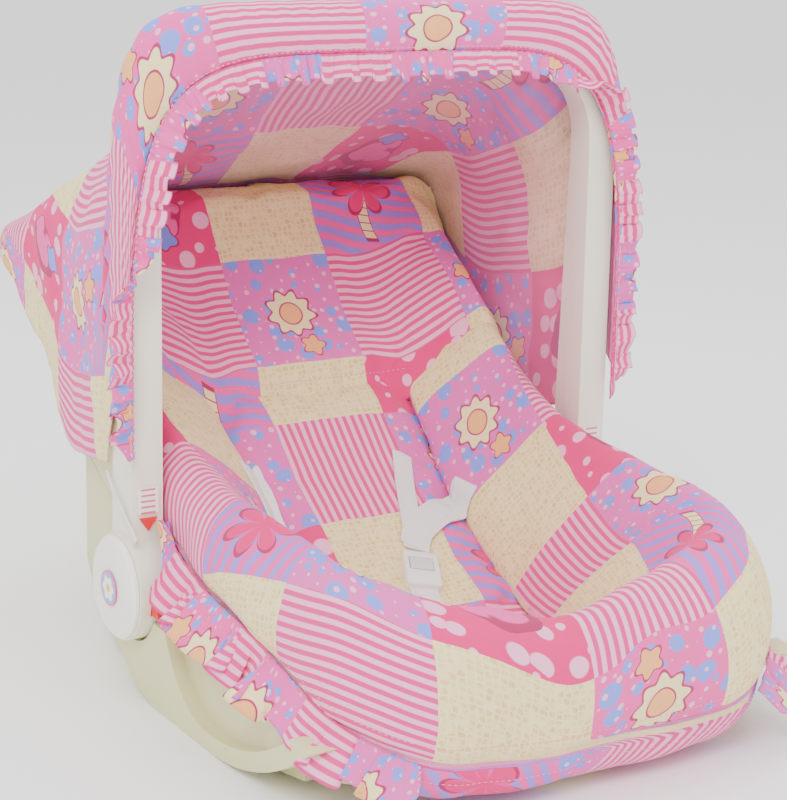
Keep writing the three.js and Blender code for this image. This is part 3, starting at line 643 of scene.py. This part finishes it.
def rim_roll():
    points = rim_grid()
    hem = round(RIM_COLUMNS * 5 / 9)
    points[:, hem] += (points.mean(axis=1) - points[:, hem]) * 0.07
    for place, reach, height in LIP_BULGES:
        away = np.sum(((points - place) / reach) ** 2, axis=2)
        points += np.exp(-away)[..., None] * np.array((0, -0.35, 0.94)) * height
    points = close_ends(points)
    points = drawn(points)
    rows, columns = points.shape[:2]
    run = lengths(points, 0)
    middle = run[len(run) // 2]
    closed = np.concatenate([points, points[:, :1]], axis=1)
    steps = np.linalg.norm(np.diff(closed, axis=1), axis=2)
    around = np.concatenate([np.zeros((rows, 1)), np.cumsum(steps, axis=1)], axis=1)
    flat = np.zeros((rows, columns + 1, 2))
    flat[..., 0] = around + RIM_PRINT[0]
    flat[..., 1] = (run - middle)[:, None] + RIM_PRINT[1]
    slant = flat[:, hem + 1:].copy()
    flat[:, hem + 1:, 0] = slant[..., 0] * 0.7 + slant[..., 1] * 0.7
    flat[:, hem + 1:, 1] = slant[..., 1] * 0.7 - slant[..., 0] * 0.7
    piece = new_piece("padded_rim", grid_mesh("padded_rim", points, flat, ring=True), LINER)
    held = np.zeros((rows, columns), bool)
    crease = 0
    held[:, crease] = True
    held[:, hem] = True
    held[:, round(columns * 7 / 9):] = True
    held[:6] = True
    held[-6:] = True
    puff(piece, held.ravel(), slack=0.045, cap=0.007)
    weld(piece)
    crumple(piece, 3.4, 17, 4.0)
    subdivide(piece)
    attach(piece, "seat")
    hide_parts("foot_bolster", "left_side_bolster", "right_side_bolster")
    return piece


# ---------- seat and back cushions ----------
SEAT_LINE = [(-170, 38), (-150, 37), (-120, 35), (-89, 47), (-60, 63), (-31, 80), (5, 105), (40, 130),
             (75, 162), (107, 190)]
BACK_LINE = [(60, 150), (84, 172), (96, 189), (110, 205), (132, 226), (160, 258), (182, 290), (198, 318),
             (214, 332), (240, 331)]
WING_LINE = [(50, 203), (64, 213), (88, 236), (119, 260), (162, 288), (188, 311), (206, 327), (240, 324)]
BACK_HALF = 180
SHELL_RIM = ((60, 180, 205, 228, 259), (160, 268, 320, 310, 296))     # places along y, and heights
SEAT_WIDTHS = (86, 91, 91, 91, 91, 94)      # half widths from the foot end to the back


def cushion_grid(line, widths, sink, rows, columns):
    """Top and bottom grids of a cushion along a side profile, sewn together at its rim."""
    profile = smooth_line(line, rows)
    half = np.interp(np.linspace(0, 1, rows), np.linspace(0, 1, len(widths)), widths)
    tangent = np.gradient(profile, axis=0)
    tangent /= np.linalg.norm(tangent, axis=1, keepdims=True)
    normal = np.stack([-tangent[:, 1], tangent[:, 0]], axis=1)
    across = np.linspace(-1, 1, columns)
    end = np.linspace(-1, 1, rows)
    crown = np.outer(1 - np.abs(end) ** 14, 1 - np.abs(across) ** 8)
    top = np.zeros((rows, columns, 3))
    low = np.zeros((rows, columns, 3))
    for grid, lift in ((top, -sink * (1 - crown)), (low, -sink - sink * 0.8 * crown)):
        grid[..., 0] = half[:, None] * across
        grid[..., 1] = profile[:, None, 0] + normal[:, None, 0] * lift
        grid[..., 2] = profile[:, None, 1] + normal[:, None, 1] * lift
    return top, low


def back_grid(rows, columns):
    """The back cushion: hollow across, with a wing at each side that rolls over at the rim."""
    across = np.linspace(-1, 1, columns)
    x = BACK_HALF * across
    over = np.clip((np.abs(x) - 154) / (BACK_HALF - 154), 0, 1)
    foot = 88 - 18 * np.clip((np.abs(x) - 60) / 80, 0, 1)
    head = 240
    middle = smooth_line(BACK_LINE, 60)
    rim = smooth_line(WING_LINE, 60)
    top = np.zeros((rows, columns, 3))
    for r in range(rows):
        part = r / (rows - 1)
        y = foot + (head - foot) * part
        wing = np.clip((np.abs(x) - 76 + 24 * part) / 88, 0, 1)
        wing = wing * wing * (3 - 2 * wing)
        low = np.interp(y, middle[:, 0], middle[:, 1])
        high = np.interp(y, rim[:, 0], rim[:, 1])
        tuck = 7 * abs(2 * part - 1) ** 12
        top[r, :, 0] = x
        top[r, :, 1] = y + tuck * 0.6
        drop = high + 8 - np.interp(y, SHELL_RIM[0], SHELL_RIM[1])
        top[r, :, 2] = low + (high - low) * wing - drop * over ** 2 - tuck
    under = top.copy()
    inside = np.outer(1 - np.abs(np.linspace(-1, 1, rows)) ** 10, 1 - np.abs(across) ** 10)
    under[..., 1] += 11 * inside
    under[..., 2] -= 9 * inside
    return top, under


def sewn_cushion(name, top, low, node, start, slack, cap):
    """One closed cushion from its two faces, filled and set in the seat."""
    top, low = drawn(top), drawn(low)
    run = lengths(top, 0)
    middle = top.shape[1] // 2
    width = lengths(top, 1)
    flat = np.zeros(top.shape[:2] + (2,))
    flat[..., 0] = (width - width[middle])[None, :] + PATCH / 2
    flat[..., 1] = run[:, None] + start
    piece = new_piece(name, grid_mesh(name, top, flat), LINER)
    under = grid_mesh(name + "_under", low[:, ::-1], flat[:, ::-1])
    edit = bmesh.new()
    edit.from_mesh(piece.data)
    edit.from_mesh(under)
    edit.to_mesh(piece.data)
    edit.free()
    bpy.data.meshes.remove(under)
    weld(piece)
    here = places(piece)
    seam = np.concatenate([top[0], top[-1], top[:, 0], top[:, -1]])
    held = np.array([np.min(np.sum((seam - p) ** 2, axis=1)) < 1e-8 for p in here])
    puff(piece, held, slack=slack, cap=cap)
    crumple(piece, 3.0, 19, 11.0)
    subdivide(piece)
    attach(piece, "seat")
    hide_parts(node)
    return piece


# ---------- sun hood ----------
# Stations from the hem in front of the cross bar to the head end: y, half width, crown, hem, squareness
HOOD_STATIONS = [
    (-21, 205, 457, 168, 5), (-24, 208, 474, 167, 6), (-18, 210, 489, 166, 7.5), (-3, 210.5, 494, 165, 8.5),
    (12, 209, 488, 164, 6.5), (26, 205, 478, 162, 4.2), (44, 201, 468, 159, 3.3), (66, 197, 454, 155, 3.3),
    (102, 194, 428, 148, 4), (140, 190, 400, 144, 5), (180, 187, 371, 172, 6.5), (215, 185, 346, 200, 8),
    (258, 183, 321, 236, 9), (290, 181, 303, 262, 9), (303, 177, 294, 270, 8), (306, 172, 284, 266, 6),
    (304, 168, 276, 262, 5),
]
HOOD_ROWS = 96
HOOD_COLUMNS = 190


def arch(half, crown, hem, power, part):
    angle = np.pi * part
    c = np.cos(angle)
    x = -half * np.sign(c) * np.abs(c) ** (2 / power)
    z = hem + (crown - hem) * np.sin(angle) ** (2 / power)
    return x, z


def even_arch(station, count):
    """Evenly spaced points round one arch of the hood."""
    y, half, crown, hem, power = station
    part = np.linspace(1e-4, 1 - 1e-4, 1200)
    x, z = arch(half, crown, hem, power, part)
    steps = np.concatenate([[0], np.cumsum(np.hypot(np.diff(x), np.diff(z)))])
    at = np.linspace(0, steps[-1], count)
    return np.stack([np.interp(at, steps, x), np.full(count, y), np.interp(at, steps, z)], axis=1)


def grid_normals(points):
    along = np.gradient(points, axis=0)
    across = np.gradient(points, axis=1)
    normal = np.cross(across, along)
    return normal / np.maximum(np.linalg.norm(normal, axis=2, keepdims=True), 1e-9)


def soft_noise(points, scale, seed):
    """Smooth noise from -1 to 1 at each point."""
    flat = points.reshape(-1, 3)
    made = [noise.noise(Vector((p[0] * scale + seed, p[1] * scale, p[2] * scale))) for p in flat]
    return np.array(made).reshape(points.shape[:-1])


def hood_grid():
    stations = smooth_line(HOOD_STATIONS, HOOD_ROWS)
    points = np.array([even_arch(s, HOOD_COLUMNS) for s in stations])
    normal = grid_normals(points)
    around = np.linspace(0, 1, HOOD_COLUMNS)
    ages = stations[:, 0]
    # gathers behind the hoop, wide folds further back, and slack between the hoop and the head end
    gather = np.exp(-((ages - 26) / 22) ** 2)[:, None] * np.sin(TAU * 34 * around + 3 * np.sin(9 * around))
    lump = soft_noise(points, 0.022, 3.0) * 5 + soft_noise(points, 0.05, 8.0) * 2.2
    loose = np.clip((ages - 8) / 40, 0, 1) * np.clip((300 - ages) / 60, 0, 1)
    front = np.exp(-((ages + 20) / 6) ** 2)[:, None] * np.sin(TAU * 60 * around) * 0.8
    sag = np.clip(np.sin(np.pi * np.clip((ages - 20) / 270, 0, 1)), 0, 1)[:, None] * 4
    shift = gather * 2.6 + lump * loose[:, None] + front - sag
    return points + normal * shift[..., None]


def sun_hood():
    points = drawn(hood_grid())
    run = lengths(points, 0)
    around = lengths(points, 1)
    flat = np.zeros(points.shape[:2] + (2,))
    flat[..., 0] = (around - around[-1] / 2)[None, :] + 0.02
    flat[..., 1] = run[:, None] + 0.03
    piece = new_piece("sun_hood_cloth", grid_mesh("sun_hood_cloth", points, flat), HOOD_CLOTH)
    piece.data.materials.append(HOOD_INSIDE)
    weld(piece)
    wall = piece.modifiers.new("wall", "SOLIDIFY")
    wall.thickness = 0.0012
    wall.offset = -1
    # the inner wall takes the hood inside material, the print with painted shade
    wall.material_offset = 1
    wall.material_offset_rim = 0
    finish_modifiers(piece)
    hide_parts("sun_hood")
    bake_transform(piece)



# ---------- frills ----------
HUB_CLEARANCE = 0.0525            # the release button sweeps inside this radius


def clear_of_hub(points):
    """Moves cloth beside the hub out of the way of the turning button."""
    off = points[..., 1:] - (HUB_Y, HUB_Z)
    away = np.linalg.norm(off, axis=-1, keepdims=True)
    moved = points.copy()
    moved[..., 1:] = (HUB_Y, HUB_Z) + off * np.maximum(1, HUB_CLEARANCE / np.maximum(away, 1e-6))
    beside = np.abs(points[..., :1]) > 0.18
    return np.where(beside, moved, points)


def ruffle(name, seam, outward, width, pleat, depth, lean, body, node):
    """A gathered strip: seam is its sewn line, outward the way that each point's free edge hangs."""
    seam = drawn(seam)
    count = len(seam)
    rows = 12
    tangent = np.gradient(seam, axis=0)
    tangent /= np.linalg.norm(tangent, axis=1, keepdims=True)
    outward = np.asarray(outward, float)
    outward = outward - tangent * np.sum(outward * tangent, axis=1, keepdims=True)
    outward /= np.linalg.norm(outward, axis=1, keepdims=True)
    face = np.cross(tangent, outward)
    run = np.concatenate([[0], np.cumsum(np.linalg.norm(np.diff(seam, axis=0), axis=1))])
    wander = np.array([noise.noise(Vector((s * 22, 1.7, 0.3))) for s in run])
    swell = np.array([noise.noise(Vector((s * 16, 9.1, 4.2))) for s in run])
    taper = np.clip(np.minimum(run, run[-1] - run) / 0.02, 0, 1) ** 0.5 * 0.7 + 0.3
    jitter = np.array([noise.noise(Vector((s * 55, 5.3, 2.2))) for s in run])
    phase = TAU * run / (pleat * MM) + 3.5 * wander + 1.6 * jitter
    points = np.zeros((rows, count, 3))
    for r in range(rows):
        part = r / (rows - 1)
        reach = width * MM * part * taper * (1 + 0.2 * swell + 0.13 * part * np.cos(phase + 0.5))
        open_ = part ** 0.7
        wave = depth * MM * open_ * (np.sin(phase) + 0.25 * np.sin(2.7 * phase + 1)) * (1 + 0.4 * wander)
        wave += 0.7 * MM * (1 - part) * np.sin(TAU * run / (0.3 * pleat * MM))
        slide = lean * MM * open_ * np.sin(2 * phase + 0.6)
        points[r] = seam + outward * reach[:, None] + face * wave[:, None] + tangent * slide[:, None]
    if body == "seat":
        points = clear_of_hub(points)
    flat = np.zeros((rows, count, 2))
    stretched = np.concatenate([[0], np.cumsum(np.linalg.norm(np.diff(points[-1], axis=0), axis=1))])
    flat[..., 0] = stretched[None, :]
    flat[..., 1] = np.linspace(0, width * MM, rows)[:, None] + 0.012
    piece = new_piece(name, grid_mesh(name, points, flat), FRILL_CLOTH)
    weld(piece, 0.00002)
    wall = piece.modifiers.new("wall", "SOLIDIFY")
    wall.thickness = 0.0008
    wall.offset = 0
    finish_modifiers(piece)
    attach(piece, body)
    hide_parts(node)
    return piece


FRILL_EDGE = (-23, 205.5, 458, 172, 5)      # arches of the frill's seam and of its stitches, as stations
STITCH_EDGE = (-27, 206.5, 461, 172, 5)


def blend_ways(height, stops):
    """Directions that change with height, from stops of (height, x, y, z)."""
    stops = np.array(stops, float)
    return np.stack([np.interp(height, stops[:, 0], stops[:, k]) for k in (1, 2, 3)], axis=1)


def hood_frill():
    """Along the hood's front edge: over the left arm, along the cross bar and down beside the right arm."""
    edge = even_arch(FRILL_EDGE, 1000)
    left = blend_ways(edge[:, 2], [(160, -1, -0.3, 0), (290, -1, -0.4, 0), (335, 0.5, -0.8, -0.2),
                                   (390, 0.8, -0.6, -0.5), (430, 0.2, -0.4, -1), (460, 0, -0.3, -1)])
    right = blend_ways(edge[:, 2], [(160, 1, 0.2, 0), (400, 1, -0.3, 0.1), (440, 0.4, -0.5, -0.8),
                                    (460, 0, -0.3, -1)])
    ways = np.where(edge[:, :1] < 0, left, right)
    kept = (edge[:, 0] < 0) | (edge[:, 2] > 192)
    return ruffle("hood_frill_cloth", edge[kept], ways[kept], 19, 19, 3.8, 2.4, "handle", "hood_frill")


SIDE_SEAM = [(-178, -19, 132), (-181, -40, 118), (-184, -98, 103), (-184, -163, 94), (-183, -212, 82),
             (-176, -248, 68), (-160, -278, 56), (-136, -298, 44)]


def side_frills():
    for side, sign in (("left", 1), ("right", -1)):
        seam = smooth_line(SIDE_SEAM, 420) * (sign, 1, 1)
        outward = np.tile((-0.62 * sign, 0.0, -0.9), (len(seam), 1))
        outward[:, 1] = np.interp(np.linspace(0, 1, len(seam)), (0, 0.12, 0.7, 1), (0.5, 0.0, -0.1, -0.7))
        ruffle(side + "_side_frill_cloth", seam, outward, 34, 50, 8.5, 9.0, "seat", side + "_side_frill")


# ---------- harness ----------
STRAP = 22
DIVE_SHARE = 0.14                     # share of a strap's length over which an end sinks between cushions
BUCKLE_DENT = (14, -50, 30, 4.5)      # where the buckle presses the seat: x, y, reach, depth


def dent(piece, x, y, reach, depth):
    points = places(piece)
    x, y, reach = x * MM, y * MM + HUB_Y, reach * MM
    away = ((points[:, 0] - x) ** 2 + (points[:, 1] - y) ** 2) / reach ** 2
    points[:, 2] -= depth * MM * np.exp(-away)
    move_to(piece, points)


def surface_of(*pieces):
    """One search tree over several pieces."""
    vertices, faces = [], []
    for piece in pieces:
        start = len(vertices)
        vertices += [v.co.copy() for v in piece.data.vertices]
        faces += [[start + i for i in face.vertices] for face in piece.data.polygons]
    return BVHTree.FromPolygons(vertices, faces)


def strap(name, path, surface, width=STRAP, thickness=1.5, dive=(0, 0), lift=1.0, node=""):
    """Webbing laid along a path of (x, y) over the cushions. dive sinks its first and last end."""
    line = smooth_line(path, 40) * MM
    line[:, 1] += HUB_Y
    tangent = np.gradient(line, axis=0)
    tangent /= np.linalg.norm(tangent, axis=1, keepdims=True)
    side = np.stack([tangent[:, 1], -tangent[:, 0]], axis=1)
    columns = 7
    across = np.linspace(-0.5, 0.5, columns)
    points = np.zeros((len(line), columns, 3))
    for r, (place, way) in enumerate(zip(line, side)):
        for c, part in enumerate(across):
            x, y = place + way * part * width * MM
            hit = surface.ray_cast(Vector((x, y, 1)), Vector((0, 0, -1)))[0]
            points[r, c] = (x, y, (hit.z if hit else 0.08) + lift * MM)
    level = points[..., 2].mean(axis=1)
    soft = np.convolve(np.pad(level, 3, mode="edge"), np.ones(7) / 7, mode="valid")
    tilt = points[..., 2] - level[:, None]
    ease = np.linspace(0, 1, len(line))
    first, last = (np.clip(1 - part / DIVE_SHARE, 0, 1) ** 1.5 for part in (ease, 1 - ease))
    sink = dive[0] * first + dive[1] * last
    points[..., 2] = np.maximum(soft[:, None] + tilt * 0.85, points[..., 2] - 0.0005) - sink[:, None] * MM
    flat = np.zeros(points.shape[:2] + (2,))
    flat[..., 0] = (across * width * MM)[None, :]
    flat[..., 1] = lengths(points, 0)[:, None]
    piece = new_piece(name, grid_mesh(name, points, flat), WEBBING)
    weld(piece, 0.00002)
    wall = piece.modifiers.new("wall", "SOLIDIFY")
    wall.thickness = thickness * MM
    wall.offset = 1 if piece.data.polygons[0].normal.z > 0 else -1
    edge = piece.modifiers.new("edge", "BEVEL")
    edge.width = 0.0004
    edge.segments = 2
    finish_modifiers(piece)
    piece.data.shade_smooth()
    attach(piece, "seat")
    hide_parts(node)
    above = points + (0, 0, (thickness + 0.15) * MM)
    stitched(name + "_stitches", [above[:, 1], above[:, -2]], "seat", WEB_THREAD, step=0.0036, length=0.0022)


def harness(seat, back, rim):
    surface = surface_of(seat, back, rim)
    strap("right_shoulder_webbing", [(19, -33), (26, -18), (38, 12), (48, 34), (52, 44)], surface,
          width=15, dive=(0, 12), node="right_shoulder_strap")
    strap("right_waist_webbing", [(20, -33), (30, -22), (52, -12), (74, -3), (88, 2)], surface,
          dive=(0, 4), node="right_waist_strap", lift=2.2)
    strap("left_waist_webbing", [(-76, -40), (-78, -20), (-80, 10), (-82, 36), (-84, 44)], surface,
          width=20, dive=(0, 8), node="left_waist_strap")
    strap("crotch_webbing", [(2, -88), (4, -80), (7, -70), (9, -62)], surface, dive=(10, 0),
          node="crotch_strap")


# ---------- stitching ----------
def stitch_tree():
    """Geometry nodes: one short thread at each step along a line."""
    tree = bpy.data.node_groups.new("stitches", "GeometryNodeTree")
    tree.interface.new_socket("Line", in_out="INPUT", socket_type="NodeSocketGeometry")
    for label, value in (("Step", 0.004), ("Length", 0.0024), ("Width", 0.0006)):
        made = tree.interface.new_socket(label, in_out="INPUT", socket_type="NodeSocketFloat")
        made.default_value = value
    tree.interface.new_socket("Thread", in_out="INPUT", socket_type="NodeSocketMaterial")
    tree.interface.new_socket("Stitches", in_out="OUTPUT", socket_type="NodeSocketGeometry")
    made = {}
    for key, kind in (("start", "NodeGroupInput"), ("end", "NodeGroupOutput"),
                      ("curve", "GeometryNodeMeshToCurve"),
                      ("even", "GeometryNodeResampleCurve"), ("way", "GeometryNodeInputTangent"),
                      ("turn", "FunctionNodeAlignRotationToVector"), ("ball", "GeometryNodeMeshUVSphere"),
                      ("size", "ShaderNodeCombineXYZ"), ("thread", "GeometryNodeTransform"),
                      ("place", "GeometryNodeInstanceOnPoints"), ("real", "GeometryNodeRealizeInstances"),
                      ("material", "GeometryNodeSetMaterial")):
        made[key] = tree.nodes.new(kind)
    made["even"].mode = "LENGTH"
    made["turn"].axis = "Z"
    made["ball"].inputs["Segments"].default_value = 6
    made["ball"].inputs["Rings"].default_value = 5
    made["ball"].inputs["Radius"].default_value = 0.5
    for a, output, b, entry in (
            ("start", "Line", "curve", "Mesh"), ("curve", "Curve", "even", "Curve"),
            ("start", "Step", "even", "Length"), ("way", "Tangent", "turn", "Vector"),
            ("start", "Width", "size", "X"), ("start", "Width", "size", "Y"),
            ("start", "Length", "size", "Z"),
            ("ball", "Mesh", "thread", "Geometry"), ("size", "Vector", "thread", "Scale"),
            ("even", "Curve", "place", "Points"), ("thread", "Geometry", "place", "Instance"),
            ("turn", "Rotation", "place", "Rotation"), ("place", "Instances", "real", "Geometry"),
            ("real", "Geometry", "material", "Geometry"), ("start", "Thread", "material", "Material"),
            ("material", "Geometry", "end", "Stitches")):
        tree.links.new(made[a].outputs[output], made[b].inputs[entry])
    return tree


STITCHES = stitch_tree()


def stitched(name, lines, body, thread, step=0.0042, length=0.0027, width=0.0007):
    """A row of stitches along each line of points, in metres."""
    points, edges = [], []
    for line in lines:
        start = len(points)
        points += [tuple(p) for p in line]
        edges += [(k, k + 1) for k in range(start, start + len(line) - 1)]
    mesh = bpy.data.meshes.new(name)
    mesh.from_pydata(points, edges, [])
    piece = new_piece(name, mesh, thread)
    rows = piece.modifiers.new("stitches", "NODES")
    rows.node_group = STITCHES
    wanted = {"Step": step, "Length": length, "Width": width, "Thread": thread}
    for item in STITCHES.interface.items_tree:
        if item.in_out == "INPUT" and item.name in wanted:
            rows[item.identifier] = wanted[item.name]
    finish_modifiers(piece)
    piece.data.shade_smooth()
    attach(piece, body)


def on_surface(piece, line, lift=0.0003):
    """The nearest places on a piece, a little above it."""
    surface = surface_of(piece)
    found = []
    for point in line:
        place, normal, _, _ = surface.find_nearest(Vector(point))
        found.append(place + normal * lift)
    return found


def rim_line(around, first, last, count=260):
    """A line round the padded rim at a part of its section, from row part first to last."""
    grid = rim_grid()
    rows = np.linspace(first * (len(grid) - 1), last * (len(grid) - 1), count)
    column = round(RIM_COLUMNS * around) % RIM_COLUMNS
    line = grid[:, column]
    return drawn(np.stack([np.interp(rows, np.arange(len(grid)), line[:, k]) for k in range(3)], axis=1))


def seams(rim, back):
    above = on_surface(rim, rim_line(0.52, 0.16, 0.84))
    below = on_surface(rim, rim_line(0.6, 0.2, 0.8))
    stitched("hem_stitches", [above, below], "seat", THREAD)
    edge = even_arch(STITCH_EDGE, 420)
    edge = drawn(edge[(edge[:, 2] > 420) | (edge[:, 0] < 0)])
    stitched("hood_seam_stitches", [edge], "handle", THREAD)
    x = np.linspace(-84, 84, 90)
    foot = drawn(np.stack([x, np.full(90, 95.0), np.full(90, 192.0)], axis=1))
    stitched("back_seam_stitches", [on_surface(back, foot)], "seat", THREAD)


# ---------- elastic tapes ----------
def tape(side, sign):
    """Thin elastic from the hood's lower corner to the hub, wider at its lower end."""
    rows, columns = 24, 5
    middle = smooth_line([(-205.4, 25, 162), (-206.6, 12, 152), (-206.8, 0, 143), (-206.2, -14, 132),
                          (-205.6, -26, 122)], rows)
    wide = np.interp(np.linspace(0, 1, rows), (0, 0.4, 1), (2.6, 4.0, 7.0))
    points = np.zeros((rows, columns, 3))
    flat = np.zeros((rows, columns, 2))
    for c, part in enumerate(np.linspace(-0.5, 0.5, columns)):
        points[:, c] = middle + np.stack([np.zeros(rows), -part * wide * 0.6, part * wide * 0.8], axis=1)
        flat[:, c, 0] = part * wide * MM
    points[..., 0] *= -sign
    points = drawn(points)
    flat[..., 1] = lengths(points, 0)[:, None]
    name = side + "_elastic_tape"
    piece = new_piece(name, grid_mesh(name, points, flat), WEBBING)
    wall = piece.modifiers.new("wall", "SOLIDIFY")
    wall.thickness = 0.0009
    wall.offset = 0
    finish_modifiers(piece)
    weld(piece, 0.00002)
    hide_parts(side + "_hood_tape")
    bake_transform(piece)


# ---------- plastic mouldings ----------
def rounded(name, node, material, width=0.0012, body="seat", angle=32):
    """A moulding of the same size as its CAD solid, with its edges broken."""
    mesh = nodes[node].data.copy()
    mesh.materials.clear()
    piece = new_piece(name, mesh, material)
    edit = bmesh.new()
    edit.from_mesh(mesh)
    bmesh.ops.remove_doubles(edit, verts=edit.verts, dist=0.00002)
    bmesh.ops.dissolve_limit(edit, angle_limit=math.radians(1), verts=edit.verts, edges=edit.edges)
    edit.to_mesh(mesh)
    edit.free()
    soft = piece.modifiers.new("edges", "BEVEL")
    soft.width = width
    soft.segments = 3
    soft.limit_method = "ANGLE"
    soft.angle_limit = math.radians(angle)
    soft.use_clamp_overlap = True
    finish_modifiers(piece)
    piece.data.shade_smooth()
    piece.data.set_sharp_from_angle(angle=math.radians(38))
    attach(piece, body)
    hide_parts(node)
    return piece


def button_spring(side):
    """The coil behind a release button, a zinc copy of its CAD part."""
    mesh = nodes[side + "_button_spring"].data.copy()
    mesh.materials.clear()
    piece = new_piece(side + "_spring_coil", mesh, ZINC)
    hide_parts(side + "_button_spring")
    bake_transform(piece)


def finishes():
    """Materials of the CAD nodes that stay as they are."""
    for name, node in nodes.items():
        if node.hide_render:
            continue
        material = SHELL_PLASTIC
        for part, found in (("screw", ZINC), ("bolt", ZINC), ("nut", ZINC), ("spring", ZINC),
                            ("keeper", ZINC),
                            ("lock_disc", GREY_NYLON), ("badge", BADGE_INK), ("pointer", RED_PLASTIC),
                            ("release_button", RED_PLASTIC), ("label", LABEL_FILM), ("cover", CAP_PLASTIC),
                            ("handle", HANDLE_PLASTIC), ("strap", WEBBING), ("tape", WEBBING),
                            ("buckle_button", BUCKLE_BUTTON), ("buckle", BUCKLE_PLASTIC)):
            if part in name:
                material = found
                break
        node.data.materials.clear()
        node.data.materials.append(material)


# ---------- stage ----------
def make_stage():
    mesh = bpy.data.meshes.new("floor")
    size = 30
    corners = [(-size, -size, 0), (size, -size, 0), (size, size, 0), (-size, size, 0)]
    mesh.from_pydata(corners, [], [(0, 1, 2, 3)])
    material, _, principled = shader("floor")
    principled.inputs["Base Color"].default_value = (0.97, 0.97, 0.97, 1)
    principled.inputs["Roughness"].default_value = 0.6
    new_piece("floor", mesh, material)
    world = bpy.data.worlds.new("studio")
    scene.world = world
    world.use_nodes = True
    world.node_tree.nodes["Background"].inputs["Color"].default_value = (1, 1, 1, 1)
    world.node_tree.nodes["Background"].inputs["Strength"].default_value = 1.45
    for name, place, size, power in (("key", (-1.6, -1.6, 2.2), 1.2, 60), ("fill", (1.9, -1.5, 1.3), 1.8, 14),
                                     ("top", (0.1, 0.5, 2.4), 1.6, 26)):
        light = bpy.data.lights.new(name, "AREA")
        light.energy = power
        light.size = size
        lamp = bpy.data.objects.new(name, light)
        lamp.location = place
        lamp.rotation_euler = (Vector((0, 0, 0.25)) - Vector(place)).to_track_quat("-Z", "Y").to_euler()
        scene.collection.objects.link(lamp)


rim = rim_roll()
seat = sewn_cushion("seat_cushion", *cushion_grid(SEAT_LINE, SEAT_WIDTHS, 7, 72, 46), "seat_pad", 0.0,
                    0.04, 0.006)
dent(seat, *BUCKLE_DENT)
back = sewn_cushion("back_cushion", *back_grid(54, 84), "back_pad", 0.345, 0.03, 0.006)
harness(seat, back, rim)
sun_hood()
hood_frill()
side_frills()
rounded("shell_moulding", "seat_shell", SHELL_PLASTIC)
rounded("base_moulding", "rocker_base", SHELL_PLASTIC)
for side in ("left", "right"):
    rounded(side + "_rail_moulding", side + "_rocker_rail", SHELL_PLASTIC)
    rounded(side + "_tongue_moulding", side + "_buckle_tongue", BUCKLE_PLASTIC, 0.0006, "seat")
    rounded(side + "_button_moulding", side + "_release_button", RED_PLASTIC, 0.0008, side + "_button")
rounded("handle_moulding", "carry_handle", HANDLE_PLASTIC, 0.0022, "handle")
rounded("buckle_moulding", "buckle_body", BUCKLE_PLASTIC, 0.0014, "seat")
rounded("buckle_button_moulding", "buckle_button", BUCKLE_BUTTON, 0.0006, "harness_button")
button_spring("left")
button_spring("right")
seams(rim, back)
tape("left", -1)
tape("right", 1)
finishes()
make_stage()
